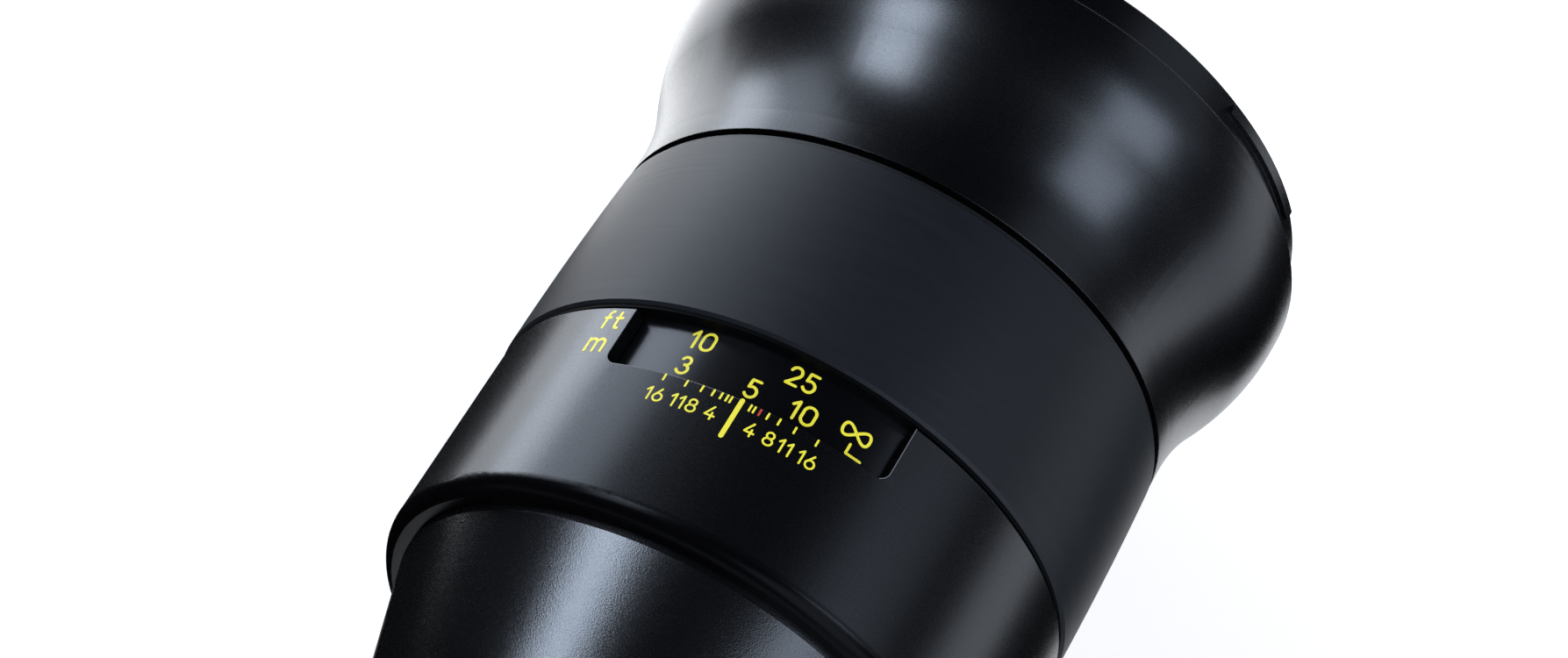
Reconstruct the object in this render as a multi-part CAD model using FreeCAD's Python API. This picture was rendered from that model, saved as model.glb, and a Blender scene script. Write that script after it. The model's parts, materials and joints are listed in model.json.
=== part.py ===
import FreeCAD, Part
import math
import os

# Frame
# The optical axis is the Y axis. The origin is the centre of the mount's flange face, the front of
# the lens points to -Y, and the index line and the scale window point to +Z.
# A station is a distance in front of the flange face, so a point at station s has y = -s.
# An azimuth is measured about the axis from +Z, positive towards -X (a right-hand turn about -Y).
# The model stands as focused at 5 m. The sliding optical unit is written at its infinity stations
# and then moved forward by rest_travel.

# Focusing: driving dimensions, in millimetres and degrees
focus_turn = 248.0            # full turn of the focus ring, infinity to nearest
focus_from_infinity = 18.9    # turn from infinity to the 5 m position
helix_lead = 11.9             # travel of the optical unit per turn of the focus ring
full_turn = 360.0
rest_travel = helix_lead * focus_from_infinity / full_turn

# Sizes
# The widest rear glass sets the rear cell. Around it lie the iris gear, the lens tube, the guide tube,
# the cam tube and the barrels, each one wall and one gap outside the last. Stations grow from the flange
# to the front barrel, and the optical unit hangs from the front barrel.

# Clearances
running = 0.08                # radial, tubes that slide or turn in each other
free_gap = 0.3                # radial, parts that pass each other without touching
fit_gap = 0.05                # radial, parts that seat in a bore
thrust_gap = 0.1              # axial, parts that turn on each other
edge_gap = 0.4                # visible gap between the fixed barrel and the focus ring
front_gap = 0.2               # gap between the focus ring and the front barrel at infinity
past = 1.0                    # how far a cutter runs past a face
join = 0.5                    # how deep a lug or a foot starts inside its ring
screw_azimuth = 45.0          # first screw of the mount, the barrel and the front
seam_azimuth = 180.0          # seam of a full turn, on the underside

# Glass: name, edge radius, place of the front vertex ahead of the cell's front, centre thickness,
# front and rear surface radius. A surface radius is positive when the surface bulges to the front.
front_glass_table = [
    ("glass_1", 33.5, 2.0, 3.2, 150.0, 52.0),
    ("glass_2", 31.5, -10.5, 9.0, 85.0, -400.0),
    ("glass_3", 28.0, -21.0, 7.0, 60.0, 130.0),
    ("glass_4", 24.5, -30.5, 2.2, 120.0, 38.0),
]
rear_glass_table = [
    ("glass_5", 20.5, -5.9, 2.0, -60.0, 60.0),
    ("glass_6", 20.5, -7.9, 9.0, 60.0, -60.0),
    ("glass_7", 20.0, -17.7, 6.5, 90.0, -70.0),
    ("glass_8", 19.5, -24.9, 6.6, 110.0, -55.0),
    ("glass_9", 19.5, -31.5, 1.8, -55.0, 70.0),
    ("glass_10", 18.8, -34.6, 5.0, 60.0, 200.0),
    ("glass_11", 18.2, -45.1, 2.0, -45.0, -90.0),
    ("glass_12", 17.6, -48.3, 4.2, 250.0, -80.0),
]
cemented = ("glass_5", "glass_8")     # each rests on the glass behind it
rear_cell_wall = 1.75
rear_cell_radius = rear_glass_table[0][1] + fit_gap + rear_cell_wall

# Iris gear and motor
gear_module = 0.3
pinion_teeth = 12
motor_radius = 3.2
motor_clearance = 1.2         # between the motor and the rear cell
motor_length = 12.5
motor_shaft_radius = 0.5
motor_shaft_gap = 0.02        # radial, in the pinion's bore
motor_collar_length = 0.6
motor_circle_wanted = rear_cell_radius + motor_clearance + motor_radius
ring_teeth = pinion_teeth + round(2 * motor_circle_wanted / gear_module)
motor_circle = gear_module * (ring_teeth - pinion_teeth) / 2
ring_pitch_radius = gear_module * ring_teeth / 2
pinion_azimuth = 60.0
pinion_gap_rear = 0.2
pinion_gap_front = 0.3
gear_addendum = 0.22
gear_dedendum = 0.36
gear_tooth_share = 0.38       # tooth width at the pitch circle, as a share of the pitch
gear_tip_share = 0.55         # tooth width at the tip, as a share of that at the pitch circle
gear_root_share = 1.5         # tooth width at the root, as a share of that at the pitch circle
gear_length = 2.4
gear_rim = 0.9
gear_teeth_margin = 5.0       # degrees of teeth past each end of the turn
gear_rim_margin = 7.0         # degrees of rim past each end of the turn
ring_tooth_backing = 0.1      # how deep a tooth starts inside its rim
pinion_tooth_backing = 0.3

# Iris
blade_count = 9
cam_ring_inset = 0.5          # from the pitch circle of its gear
cam_ring_radius = ring_pitch_radius - cam_ring_inset
cam_ring_thickness = 1.0
blade_inset = 1.4             # from the cam ring's edge
blade_outer = cam_ring_radius - blade_inset
blade_width = 7.8
blade_inner = blade_outer - blade_width
blade_pivot_inset = 2.0       # from the blades' outer edge
blade_pivot_circle = blade_outer - blade_pivot_inset
blade_tip = 104.0             # azimuth of the blade's tip past its pivot
blade_tail = 6.5              # azimuth of the blade's tail before its pivot
blade_tail_roundness = 0.6
blade_thickness = 0.06
blade_height = 0.65           # of a blade at its pivot, above the iris base
blade_tilt = 4.5              # degrees, so that the blades lie over each other like a fan
blade_tilt_azimuth = 152.0
blade_turn = 39.0
iris_turn = 30.0
iris_overlap = 0.3            # of the open blades behind the iris base
iris_opening = blade_inner - iris_overlap
pivot_pin_radius = 0.7
drive_pin_radius = 0.6
drive_pin_arm = 5.0
drive_slot_margin = 1.0       # degrees past each end of the blade's turn
cam_slot_margin = 1.2         # degrees past each end of the ring's turn
iris_pin_gap = 0.1
iris_base_thickness = 0.8
iris_chamber = 4.6
iris_collar_inner = iris_opening
iris_collar_wall = 1.9
iris_collar_outer = iris_collar_inner + iris_collar_wall
iris_collar_length = 1.8
iris_clip_thickness = 0.5
iris_clip_width = 1.5
iris_clip_radius = iris_collar_outer + iris_clip_width
iris_gear_clearance = 0.54
iris_shoulder_inner = ring_pitch_radius + gear_dedendum + gear_rim + iris_gear_clearance
iris_shoulder_length = 5.0
iris_wall_inset = 0.1
iris_wall_inner = iris_shoulder_inner + iris_wall_inset
iris_wall = 1.97

# Tubes, from the cells outwards
cell_radius = iris_wall_inner + iris_wall
lens_tube_inner = cell_radius + fit_gap
lens_tube_wall = 1.6
lens_tube_outer = lens_tube_inner + lens_tube_wall
rear_lip_height = 2.92
rear_lip_inner = lens_tube_inner - rear_lip_height
guide_inner = lens_tube_outer + running
guide_wall = 1.3
guide_outer = guide_inner + guide_wall
cam_tube_inner = guide_outer + running
cam_tube_wall = 1.52
cam_tube_outer = cam_tube_inner + cam_tube_wall
cam_groove_depth = 1.1
cam_groove_margin = 1.5       # degrees past each end of the turn
scale_ring_clearance = 0.67
scale_ring_inner = cam_tube_outer + scale_ring_clearance
scale_ring_wall = 1.4
scale_ring_outer = scale_ring_inner + scale_ring_wall
scale_barrel_inner = scale_ring_outer + fit_gap + running
scale_barrel_wall = 2.0
scale_barrel_front_radius = scale_barrel_inner + scale_barrel_wall
scale_barrel_taper = 0.1
scale_barrel_radius = scale_barrel_front_radius + scale_barrel_taper
scale_barrel_chamfer = 0.2
scale_barrel_roll = 2.5       # length of the rounded rear edge
scale_barrel_roll_depth = 1.7
scale_roll_middle_in = 0.45   # middle of the rounded edge, in from the barrel
scale_roll_middle_ahead = 0.8
scale_web_thickness = 2.0
rear_barrel_step = 1.6
rear_barrel_front_radius = scale_barrel_radius - scale_barrel_roll_depth - rear_barrel_step
guide_flange_clearance = 0.6
guide_flange_radius = scale_barrel_inner - guide_flange_clearance
guide_flange_thickness = 1.5
barrel_screw_offset = 1.5
barrel_screw_circle = guide_outer + barrel_screw_offset
barrel_screw_radius = 0.8
barrel_screw_head = 1.5
barrel_screw_head_height = 1.0
barrel_screw_floor = 0.6      # left behind a screw's hole in the web
barrel_screw_end_gap = 0.2
barrel_screw_count = 4

# Mount
flange_thickness = 3.0
flange_edge = 0.4
throat_inner = 24.0
throat_wall = 2.6
throat_outer = throat_inner + throat_wall
flange_width = 5.9
flange_radius = throat_outer + flange_width
throat_depth = 5.2            # behind the flange face
throat_front = 4.6            # spigot inside the rear barrel
lug_height = 1.8
lug_radius = throat_outer + lug_height
lug_thickness = 2.0
lug_width = 52.0
lug_count = 3
mount_screw_inset = 2.7
mount_screw_circle = flange_radius - mount_screw_inset
mount_screw_radius = 0.9
mount_screw_head = 1.7
mount_screw_length = 5.4
mount_screw_end_gap = 0.3
mount_screw_count = 4
drive_radius_share = 0.6      # socket of a screw, as shares of its shank and of its head
drive_depth_share = 0.7
lock_slot_half_width = 1.8
lock_slot_depth = 2.2
lock_slot_length = 2.0
lock_slot_azimuth = -90.0

# Contacts
contact_count = 9
contact_pitch = 6.6           # degrees between contacts
contact_radius = 0.75
contact_gap = 0.02
contact_inset = 1.7
contact_circle = throat_inner - contact_inset
contact_block_width = 3.2
contact_block_inner = throat_inner - contact_block_width
contact_block_half_angle = 33.0
contact_block_front = 2.6
contact_stand_out = 0.5
baffle_thickness = 0.8
baffle_gap = 0.6
baffle_station = contact_block_front + baffle_gap
baffle_window_width = 31.0
baffle_window_height = 24.0
baffle_window_corner = 2.5

# Rear barrel
mount_step = 0.1              # from the mount's flange to the rear barrel
rear_barrel_radius = flange_radius + mount_step
rear_barrel_length = 24.5
rear_barrel_front = flange_thickness + rear_barrel_length
rear_barrel_band = 4.0        # length of the straight band beside the mount
rear_barrel_rim = 1.0         # length of the straight band at the front
rear_barrel_wall = 2.2
rear_barrel_corner = 0.7      # extra wall beside the web
rear_flange_gap = 0.6
rear_flange_inner = throat_outer + rear_flange_gap
rear_flange_thickness = 4.2
rear_web_gap = 0.5
rear_web_inner = guide_inner + rear_web_gap
rear_web_thickness = 3.0
board_inset = 1.2
board_inner = throat_inner + board_inset
board_thickness = 1.2
board_gap_angle = 46.0

# Scale barrel, the fixed barrel with the window
scale_barrel_length = 30.1
scale_barrel_front = rear_barrel_front + scale_barrel_length
scale_web_front = rear_barrel_front + scale_web_thickness
guide_flange_front = scale_web_front + guide_flange_thickness
window_half_angle = 28.0
window_depth = 9.15           # from the barrel's front edge
window_corner = 1.8
scale_ring_tail = 1.85        # behind the window
scale_ring_rear = scale_barrel_front - window_depth - scale_ring_tail

# Focus ring and what turns with it
focus_ring_rear = scale_barrel_front + edge_gap
focus_ring_length = 31.2
focus_ring_front = focus_ring_rear + focus_ring_length
rubber_recess = 1.3           # of the sleeve under the barrel's front edge
focus_sleeve_outer = scale_barrel_front_radius - rubber_recess
focus_sleeve_wall = 1.4
focus_sleeve_inner = focus_sleeve_outer - focus_sleeve_wall
focus_lip_width = 0.5
focus_lip_rear_height = 1.0
focus_lip_rear_radius = focus_sleeve_outer + focus_lip_rear_height
focus_lip_front_height = 0.35
focus_lip_front_radius = focus_sleeve_outer + focus_lip_front_height
focus_web_setback = 2.0
focus_web_rear = focus_ring_rear + focus_web_setback
focus_web_thickness = 2.5
focus_web_front = focus_web_rear + focus_web_thickness
rubber_rear_thickness = 1.5
rubber_rear_radius = focus_sleeve_outer + rubber_rear_thickness
rubber_middle_thickness = 1.35
rubber_middle_radius = focus_sleeve_outer + rubber_middle_thickness
rubber_front_thickness = 0.8
rubber_front_radius = focus_sleeve_outer + rubber_front_thickness
rubber_edge = 0.4
focus_screw_radius = 0.8
focus_screw_depth = 0.9       # of the hole in the cam tube
focus_screw_end_gap = 0.1
focus_screw_count = 3
focus_screw_first_azimuth = 30.0
focus_screw_station = (focus_web_rear + focus_web_front) / 2

# Front barrel
front_barrel_rear = focus_ring_front + front_gap
front_barrel_length = 31.6
front_barrel_front = front_barrel_rear + front_barrel_length
front_barrel_step = 0.65      # from the focus sleeve
front_barrel_rear_radius = focus_sleeve_outer + front_barrel_step
front_glass_wall = 0.87       # with its gap, around the widest glass in the lens tube
front_glass_radius = cell_radius - front_glass_wall
front_glass_scale = front_glass_radius / front_glass_table[1][1]
front_cell_wall = 3.05
front_cell_radius = front_glass_table[0][1] * front_glass_scale + fit_gap + front_cell_wall
front_cell_flange_width = 0.4
front_cell_flange_radius = front_cell_radius + front_cell_flange_width
filter_thread_clearance = 1.1
# M77 x 0.75, at the thread's inner diameter
filter_thread_radius = front_cell_flange_radius + filter_thread_clearance
filter_thread_length = 5.6
counterbore_depth = 0.5
hood_ring_counterbore = filter_thread_radius + counterbore_depth
hood_ring_wall = 5.6
hood_ring_radius = filter_thread_radius + hood_ring_wall
hood_ring_chamfer = 0.4
hood_lug_height = 0.9
hood_lug_radius = hood_ring_radius + hood_lug_height
hood_lug_length = 1.5
hood_lug_width = 26.0
hood_lug_setback = 1.2
hood_lug_count = 3
hood_lug_azimuth = 60.0
front_barrel_lip = 2.5
front_barrel_radius = hood_ring_radius + front_barrel_lip
front_barrel_chamfer = 0.5
front_barrel_wall = 2.0
front_barrel_band = 2.0       # length of the straight band at the front
flare_setback = 3.6           # from the front barrel's rear edge
flare_rear = front_barrel_rear + flare_setback
flare_front = front_barrel_front - front_barrel_band
flare_concave_share = 0.5427  # of the flare's two arcs, as a share of their radii added up
skirt_wall = 0.8
skirt_length = 10.4
skirt_rear = front_barrel_rear - skirt_length
skirt_slope_rear = 1.5        # inner slope, ahead of the barrel's rear face
skirt_slope_front = 3.0
front_web_setback = 11.6      # from the front barrel's rear edge
front_web_rear = front_barrel_rear + front_web_setback
front_web_thickness = 2.5
front_web_front = front_web_rear + front_web_thickness
hood_ring_socket = 10.0       # depth in the front barrel
hood_ring_rear = front_barrel_front - hood_ring_socket
hood_ring_stand_out = 6.0
front_rim = front_barrel_front + hood_ring_stand_out
front_screw_offset = 1.05
front_screw_circle = front_cell_flange_radius + front_screw_offset
front_screw_radius = 0.6
front_screw_head = 1.1
front_screw_head_height = 0.8
front_screw_depth = 1.8
front_screw_end_gap = 0.2
front_screw_count = 4
lens_tube_flange_margin = 0.85
lens_tube_flange_radius = front_screw_circle + lens_tube_flange_margin
lens_tube_flange_thickness = 2.5
bezel_overlap = 0.9
bezel_inner = front_glass_table[0][1] * front_glass_scale - bezel_overlap
bezel_edge_thickness = 1.0
bezel_rim = 1.2               # width of the flat outer edge
bezel_rear_gap = 0.2
bezel_front_gap = 0.1

# Stations of the optical unit
front_cell_setback = 4.0      # from the front barrel's front edge
front_cell_front = front_barrel_front - front_cell_setback
front_cell_length = 43.0
front_cell_rear = front_cell_front - front_cell_length
iris_front_gap = 2.6
iris_cover_front = front_cell_rear - iris_front_gap
iris_cover_rear = iris_cover_front - iris_base_thickness
iris_base_front = iris_cover_rear - iris_chamber
iris_base_rear = iris_base_front - iris_base_thickness
iris_collar_rear = iris_base_rear - iris_collar_length
iris_clip_front = iris_collar_rear + iris_clip_thickness
cam_ring_rear = iris_clip_front + thrust_gap
gear_rear = iris_clip_front - gear_length
blade_station = iris_base_front + blade_height
motor_setback = 5.2           # from the iris base
motor_front = iris_base_rear - motor_setback
motor_rear = motor_front - motor_length
rear_cell_gap = 0.5           # to the iris base's collar
rear_cell_front = iris_collar_rear - rear_cell_gap
rear_cell_overhang = 1.0      # behind the last glass
rear_cell_rear = rear_cell_front + rear_glass_table[-1][2] - rear_glass_table[-1][3] - rear_cell_overhang
rear_cell_flange_thickness = 2.5
rear_lip_front = motor_rear - rear_cell_flange_thickness
rear_lip_thickness = 3.0
rear_lip_rear = rear_lip_front - rear_lip_thickness
lens_tube_overhang = 2.0      # behind the lip that carries the rear cell
lens_tube_rear = rear_lip_rear - lens_tube_overhang
seat_width = 1.5              # width of a shoulder or a retaining ring under a glass edge
ring_thickness = 1.6
spacer_wall = 0.9

# Guide keys, cam tube and stops
key_count = 3
key_setback = 10.0            # from the lens tube's rear edge
key_station = lens_tube_rear + key_setback
key_radius = 1.1
key_gap = 0.15
key_stem_share = 0.7          # stem of a key, as a share of its radius
key_stem_floor = 0.3          # wall left under a key's hole in the lens tube
key_stem_end_gap = 0.1
key_first_azimuth = 90.0
cam_tube_tail = 4.0           # behind the keys
cam_tube_rear = key_station - cam_tube_tail
cam_tube_reach = 21.5         # ahead of the focus ring's web
cam_tube_front = focus_web_front + cam_tube_reach
retaining_ring_length = 2.4
guide_reach = 4.0             # ahead of the cam tube
guide_front = cam_tube_front + guide_reach
stop_lug_width = 12.0
stop_lug_azimuth = 150.0
stop_gap_angle = 0.5
stop_length = 3.9

ORIGIN = FreeCAD.Vector(0, 0, 0)
FORWARD = FreeCAD.Vector(0, -1, 0)


# Basic shapes

def at(radius, azimuth, station):
    """Point at a radius and azimuth about the axis, at a station."""
    angle = math.radians(azimuth)
    return FreeCAD.Vector(-radius * math.sin(angle), -station, radius * math.cos(angle))


def solid(shape):
    """The shape with its faces turned outwards."""
    if shape.Volume < 0:
        shape.reverse()
    return shape


def turned(profile, azimuth=seam_azimuth, width=full_turn):
    """Solid turned about the axis. A profile entry is (radius, station) for a straight run to that
    point, or (middle radius, middle station, end radius, end station) for an arc."""
    start = at(profile[0][0], 0, profile[0][1])
    here = start
    edges = []
    for entry in profile[1:] + profile[:1]:
        end = at(entry[-2], 0, entry[-1])
        if len(entry) == 4:
            edges.append(Part.Arc(here, at(entry[0], 0, entry[1]), end).toShape())
        elif here.distanceToPoint(end) > 1e-6:
            edges.append(Part.makeLine(here, end))
        here = end
    face = Part.Face(Part.Wire(edges))
    shape = face.revolve(ORIGIN, FORWARD, width)
    shape.rotate(ORIGIN, FORWARD, azimuth)
    return solid(shape)


def ring(inner, outer, rear, front, azimuth=seam_azimuth, width=full_turn):
    """Plain ring, or a sector of one from azimuth on."""
    return turned([(inner, rear), (outer, rear), (outer, front), (inner, front)], azimuth, width)


def axial_pin(radius, circle, azimuth, rear, front):
    """Cylinder parallel to the axis."""
    return Part.makeCylinder(radius, front - rear, at(circle, azimuth, rear), FORWARD)


def radial_pin(radius, azimuth, station, inner, outer):
    """Cylinder that points away from the axis."""
    return Part.makeCylinder(radius, outer - inner, at(inner, azimuth, station), at(1, azimuth, 0))


def around(count, first=0.0):
    """Azimuths of evenly spaced copies."""
    return [first + full_turn * index / count for index in range(count)]


def sag(surface_radius, radius):
    """Depth of a spherical surface at a radius, positive for a surface that bulges to the front."""
    depth = abs(surface_radius) - math.sqrt(surface_radius ** 2 - radius ** 2)
    return math.copysign(depth, surface_radius)


def slot_tool(azimuth, rear, front, half_width, inner, outer):
    """Cutter for a straight slot with round ends, through a tube wall."""
    shape = radial_pin(half_width, azimuth, rear, inner, outer)
    shape = shape.fuse(radial_pin(half_width, azimuth, front, inner, outer))
    block = Part.makeBox(2 * half_width, front - rear, outer - inner,
                         FreeCAD.Vector(-half_width, -front, inner))
    block.rotate(ORIGIN, FORWARD, azimuth)
    return shape.fuse(block)


# Mount end

def make_mount_bayonet():
    profile = [
        (throat_inner, -throat_depth), (throat_outer, -throat_depth), (throat_outer, 0),
        (flange_radius - flange_edge, 0), (flange_radius, flange_edge), (flange_radius, flange_thickness),
        (throat_outer, flange_thickness), (throat_outer, throat_front), (throat_inner, throat_front),
    ]
    shape = turned(profile)
    for azimuth in around(lug_count, -lug_width / 2):
        lug = ring(throat_outer - join, lug_radius, -throat_depth, lug_thickness - throat_depth,
                   azimuth, lug_width)
        shape = shape.fuse(lug)
    cone_depth = mount_screw_head - mount_screw_radius
    for azimuth in around(mount_screw_count, screw_azimuth):
        hole = axial_pin(mount_screw_radius + fit_gap, mount_screw_circle, azimuth,
                         -past, flange_thickness + past)
        sink = Part.makeCone(mount_screw_head + fit_gap, mount_screw_radius + fit_gap, cone_depth,
                             at(mount_screw_circle, azimuth, 0), FORWARD)
        shape = shape.cut(hole.fuse(sink))
    lock_slot = Part.makeBox(2 * lock_slot_half_width, lock_slot_length, 2 * lock_slot_depth,
                             FreeCAD.Vector(-lock_slot_half_width, -lock_slot_length,
                                            flange_radius - lock_slot_depth))
    lock_slot.rotate(ORIGIN, FORWARD, lock_slot_azimuth)
    return shape.cut(lock_slot)


def make_mount_screws():
    screws = []
    cone_depth = mount_screw_head - mount_screw_radius
    for azimuth in around(mount_screw_count, screw_azimuth):
        head = Part.makeCone(mount_screw_head, mount_screw_radius, cone_depth,
                             at(mount_screw_circle, azimuth, 0), FORWARD)
        shank = axial_pin(mount_screw_radius, mount_screw_circle, azimuth, cone_depth / 2, mount_screw_length)
        drive = axial_pin(mount_screw_radius * drive_radius_share, mount_screw_circle, azimuth,
                          -past, cone_depth * drive_depth_share)
        screws.append(head.fuse(shank).cut(drive))
    return Part.makeCompound(screws)


def contact_azimuths():
    first = 180.0 - contact_pitch * (contact_count - 1) / 2
    return [first + contact_pitch * index for index in range(contact_count)]


def make_contact_block():
    shape = ring(contact_block_inner, throat_inner, contact_stand_out - throat_depth, contact_block_front,
                 180.0 - contact_block_half_angle, 2 * contact_block_half_angle)
    for azimuth in contact_azimuths():
        shape = shape.cut(axial_pin(contact_radius + contact_gap, contact_circle, azimuth,
                                    -throat_depth - past, contact_block_front + past))
    return shape


def make_contact_pins():
    return Part.makeCompound([
        axial_pin(contact_radius, contact_circle, azimuth, -throat_depth, contact_block_front)
        for azimuth in contact_azimuths()
    ])


def make_rear_baffle():
    disc = axial_pin(throat_inner, 0, 0, baffle_station, baffle_station + baffle_thickness)
    window = Part.makeBox(baffle_window_width, 4 * baffle_thickness, baffle_window_height,
                          FreeCAD.Vector(-baffle_window_width / 2, -baffle_station - 2 * baffle_thickness,
                                         -baffle_window_height / 2))
    corners = [edge for edge in window.Edges if abs(edge.tangentAt(edge.FirstParameter).y) > 0.9]
    return disc.cut(window.makeFillet(baffle_window_corner, corners))


def make_rear_barrel():
    flange_front = flange_thickness + rear_flange_thickness
    web_rear = rear_barrel_front - rear_web_thickness
    band_front = flange_thickness + rear_barrel_band
    profile = [
        (rear_flange_inner, flange_thickness),
        (rear_barrel_radius, flange_thickness),
        (rear_barrel_radius, band_front),
        (rear_barrel_front_radius, rear_barrel_front - rear_barrel_rim),
        (rear_barrel_front_radius, rear_barrel_front),
        (rear_web_inner, rear_barrel_front),
        (rear_web_inner, web_rear),
        (rear_barrel_front_radius - rear_barrel_wall - rear_barrel_corner, web_rear),
        (rear_barrel_radius - rear_barrel_wall, band_front + rear_barrel_rim),
        (rear_barrel_radius - rear_barrel_wall, flange_front),
        (rear_flange_inner, flange_front),
    ]
    shape = turned(profile)
    for azimuth in around(mount_screw_count, screw_azimuth):
        shape = shape.cut(axial_pin(mount_screw_radius + fit_gap, mount_screw_circle, azimuth,
                                    flange_thickness - past, mount_screw_length + mount_screw_end_gap))
    for azimuth in around(barrel_screw_count, screw_azimuth):
        shape = shape.cut(axial_pin(barrel_screw_radius + fit_gap, barrel_screw_circle, azimuth,
                                    web_rear + barrel_screw_floor, rear_barrel_front + past))
    return shape


def make_circuit_board():
    rear = flange_thickness + rear_flange_thickness
    outer = rear_barrel_radius - rear_barrel_wall - fit_gap
    return ring(board_inner, outer, rear, rear + board_thickness,
                board_gap_angle / 2, full_turn - board_gap_angle)


def make_window_tool():
    rear = scale_barrel_front - window_depth
    tool = ring(scale_barrel_inner - scale_barrel_wall, scale_barrel_radius + past,
                rear, scale_barrel_front + past, -window_half_angle, 2 * window_half_angle)
    rear_corners = []
    for edge in tool.Edges:
        ends = [vertex.Point for vertex in edge.Vertexes]
        at_rear = all(abs(point.y + rear) < 1e-6 for point in ends)
        if at_rear and isinstance(edge.Curve, Part.Line):
            rear_corners.append(edge)
    return tool.makeFillet(window_corner, rear_corners)


def make_scale_barrel():
    front = scale_barrel_front
    rear = rear_barrel_front
    roll_radius = scale_barrel_radius - scale_barrel_roll_depth
    profile = [
        (guide_outer, rear),
        (roll_radius, rear),
        (scale_barrel_radius - scale_roll_middle_in, rear + scale_roll_middle_ahead,
         scale_barrel_radius, rear + scale_barrel_roll),
        (scale_barrel_front_radius, front - scale_barrel_chamfer),
        (scale_barrel_front_radius - scale_barrel_chamfer, front),
        (scale_barrel_inner, front),
        (scale_barrel_inner, scale_web_front),
        (guide_outer, scale_web_front),
    ]
    shape = turned(profile)
    shape = shape.cut(make_window_tool())
    for azimuth in around(barrel_screw_count, screw_azimuth):
        shape = shape.cut(axial_pin(barrel_screw_radius + fit_gap, barrel_screw_circle, azimuth,
                                    rear - past, scale_web_front + past))
    return shape


def make_guide_tube():
    profile = [
        (guide_inner, scale_web_front), (guide_flange_radius, scale_web_front),
        (guide_flange_radius, guide_flange_front), (guide_outer, guide_flange_front),
        (guide_outer, guide_front), (guide_inner, guide_front),
    ]
    shape = turned(profile)
    travel = helix_lead * focus_turn / full_turn
    for azimuth in around(key_count, key_first_azimuth):
        tool = slot_tool(azimuth, key_station - free_gap, key_station + travel + free_gap,
                         key_radius + key_gap, guide_inner - past, guide_outer + past)
        shape = shape.cut(tool)
    for azimuth in around(barrel_screw_count, screw_azimuth):
        shape = shape.cut(axial_pin(barrel_screw_radius + fit_gap, barrel_screw_circle, azimuth,
                                    scale_web_front - past, guide_flange_front + past))
    return shape


def make_barrel_screws():
    screws = []
    end = rear_barrel_front - rear_web_thickness + barrel_screw_floor + barrel_screw_end_gap
    for azimuth in around(barrel_screw_count, screw_azimuth):
        shank = axial_pin(barrel_screw_radius, barrel_screw_circle, azimuth, end, guide_flange_front)
        head = axial_pin(barrel_screw_head, barrel_screw_circle, azimuth,
                         guide_flange_front, guide_flange_front + barrel_screw_head_height)
        screws.append(shank.fuse(head))
    return Part.makeCompound(screws)


def make_cam_retaining_ring():
    rear = cam_tube_front + thrust_gap
    return ring(guide_outer, cam_tube_outer, rear, rear + retaining_ring_length)


def make_focus_stop():
    """Fixed arc that the turning lug meets at both ends of the focus turn."""
    width = full_turn - focus_turn - stop_lug_width - 2 * stop_gap_angle
    lug_at_nearest = stop_lug_azimuth + focus_turn - focus_from_infinity + stop_lug_width / 2
    front = cam_tube_rear - thrust_gap
    return ring(guide_outer, cam_tube_outer, front - stop_length, front,
                lug_at_nearest + stop_gap_angle, width)


# Focus ring and what turns with it

def make_focus_ring():
    profile = [
        (scale_ring_outer, focus_ring_rear), (focus_lip_rear_radius, focus_ring_rear),
        (focus_lip_rear_radius, focus_ring_rear + focus_lip_width),
        (focus_sleeve_outer, focus_ring_rear + focus_lip_width),
        (focus_sleeve_outer, focus_ring_front - focus_lip_width),
        (focus_lip_front_radius, focus_ring_front - focus_lip_width),
        (focus_lip_front_radius, focus_ring_front),
        (focus_sleeve_inner, focus_ring_front),
        (focus_sleeve_inner, focus_web_front),
        (cam_tube_outer, focus_web_front),
        (cam_tube_outer, focus_web_rear),
        (scale_ring_outer, focus_web_rear),
    ]
    shape = turned(profile)
    for azimuth in around(focus_screw_count, focus_screw_first_azimuth):
        shape = shape.cut(radial_pin(focus_screw_radius + fit_gap, azimuth, focus_screw_station,
                                     cam_tube_outer - past, focus_sleeve_outer + past))
    return shape


def make_rubber_grip():
    rear = focus_ring_rear + focus_lip_width
    front = focus_ring_front - focus_lip_width
    profile = [
        (focus_sleeve_outer, rear),
        (rubber_rear_radius - rubber_edge, rear),
        (rubber_rear_radius, rear + rubber_edge),
        (rubber_middle_radius, (rear + front) / 2, rubber_front_radius, front - rubber_edge),
        (rubber_front_radius - rubber_edge, front),
        (focus_sleeve_outer, front),
    ]
    return turned(profile)


def make_distance_scale_ring():
    return ring(scale_ring_inner, scale_ring_outer, scale_ring_rear, focus_web_rear)


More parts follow.
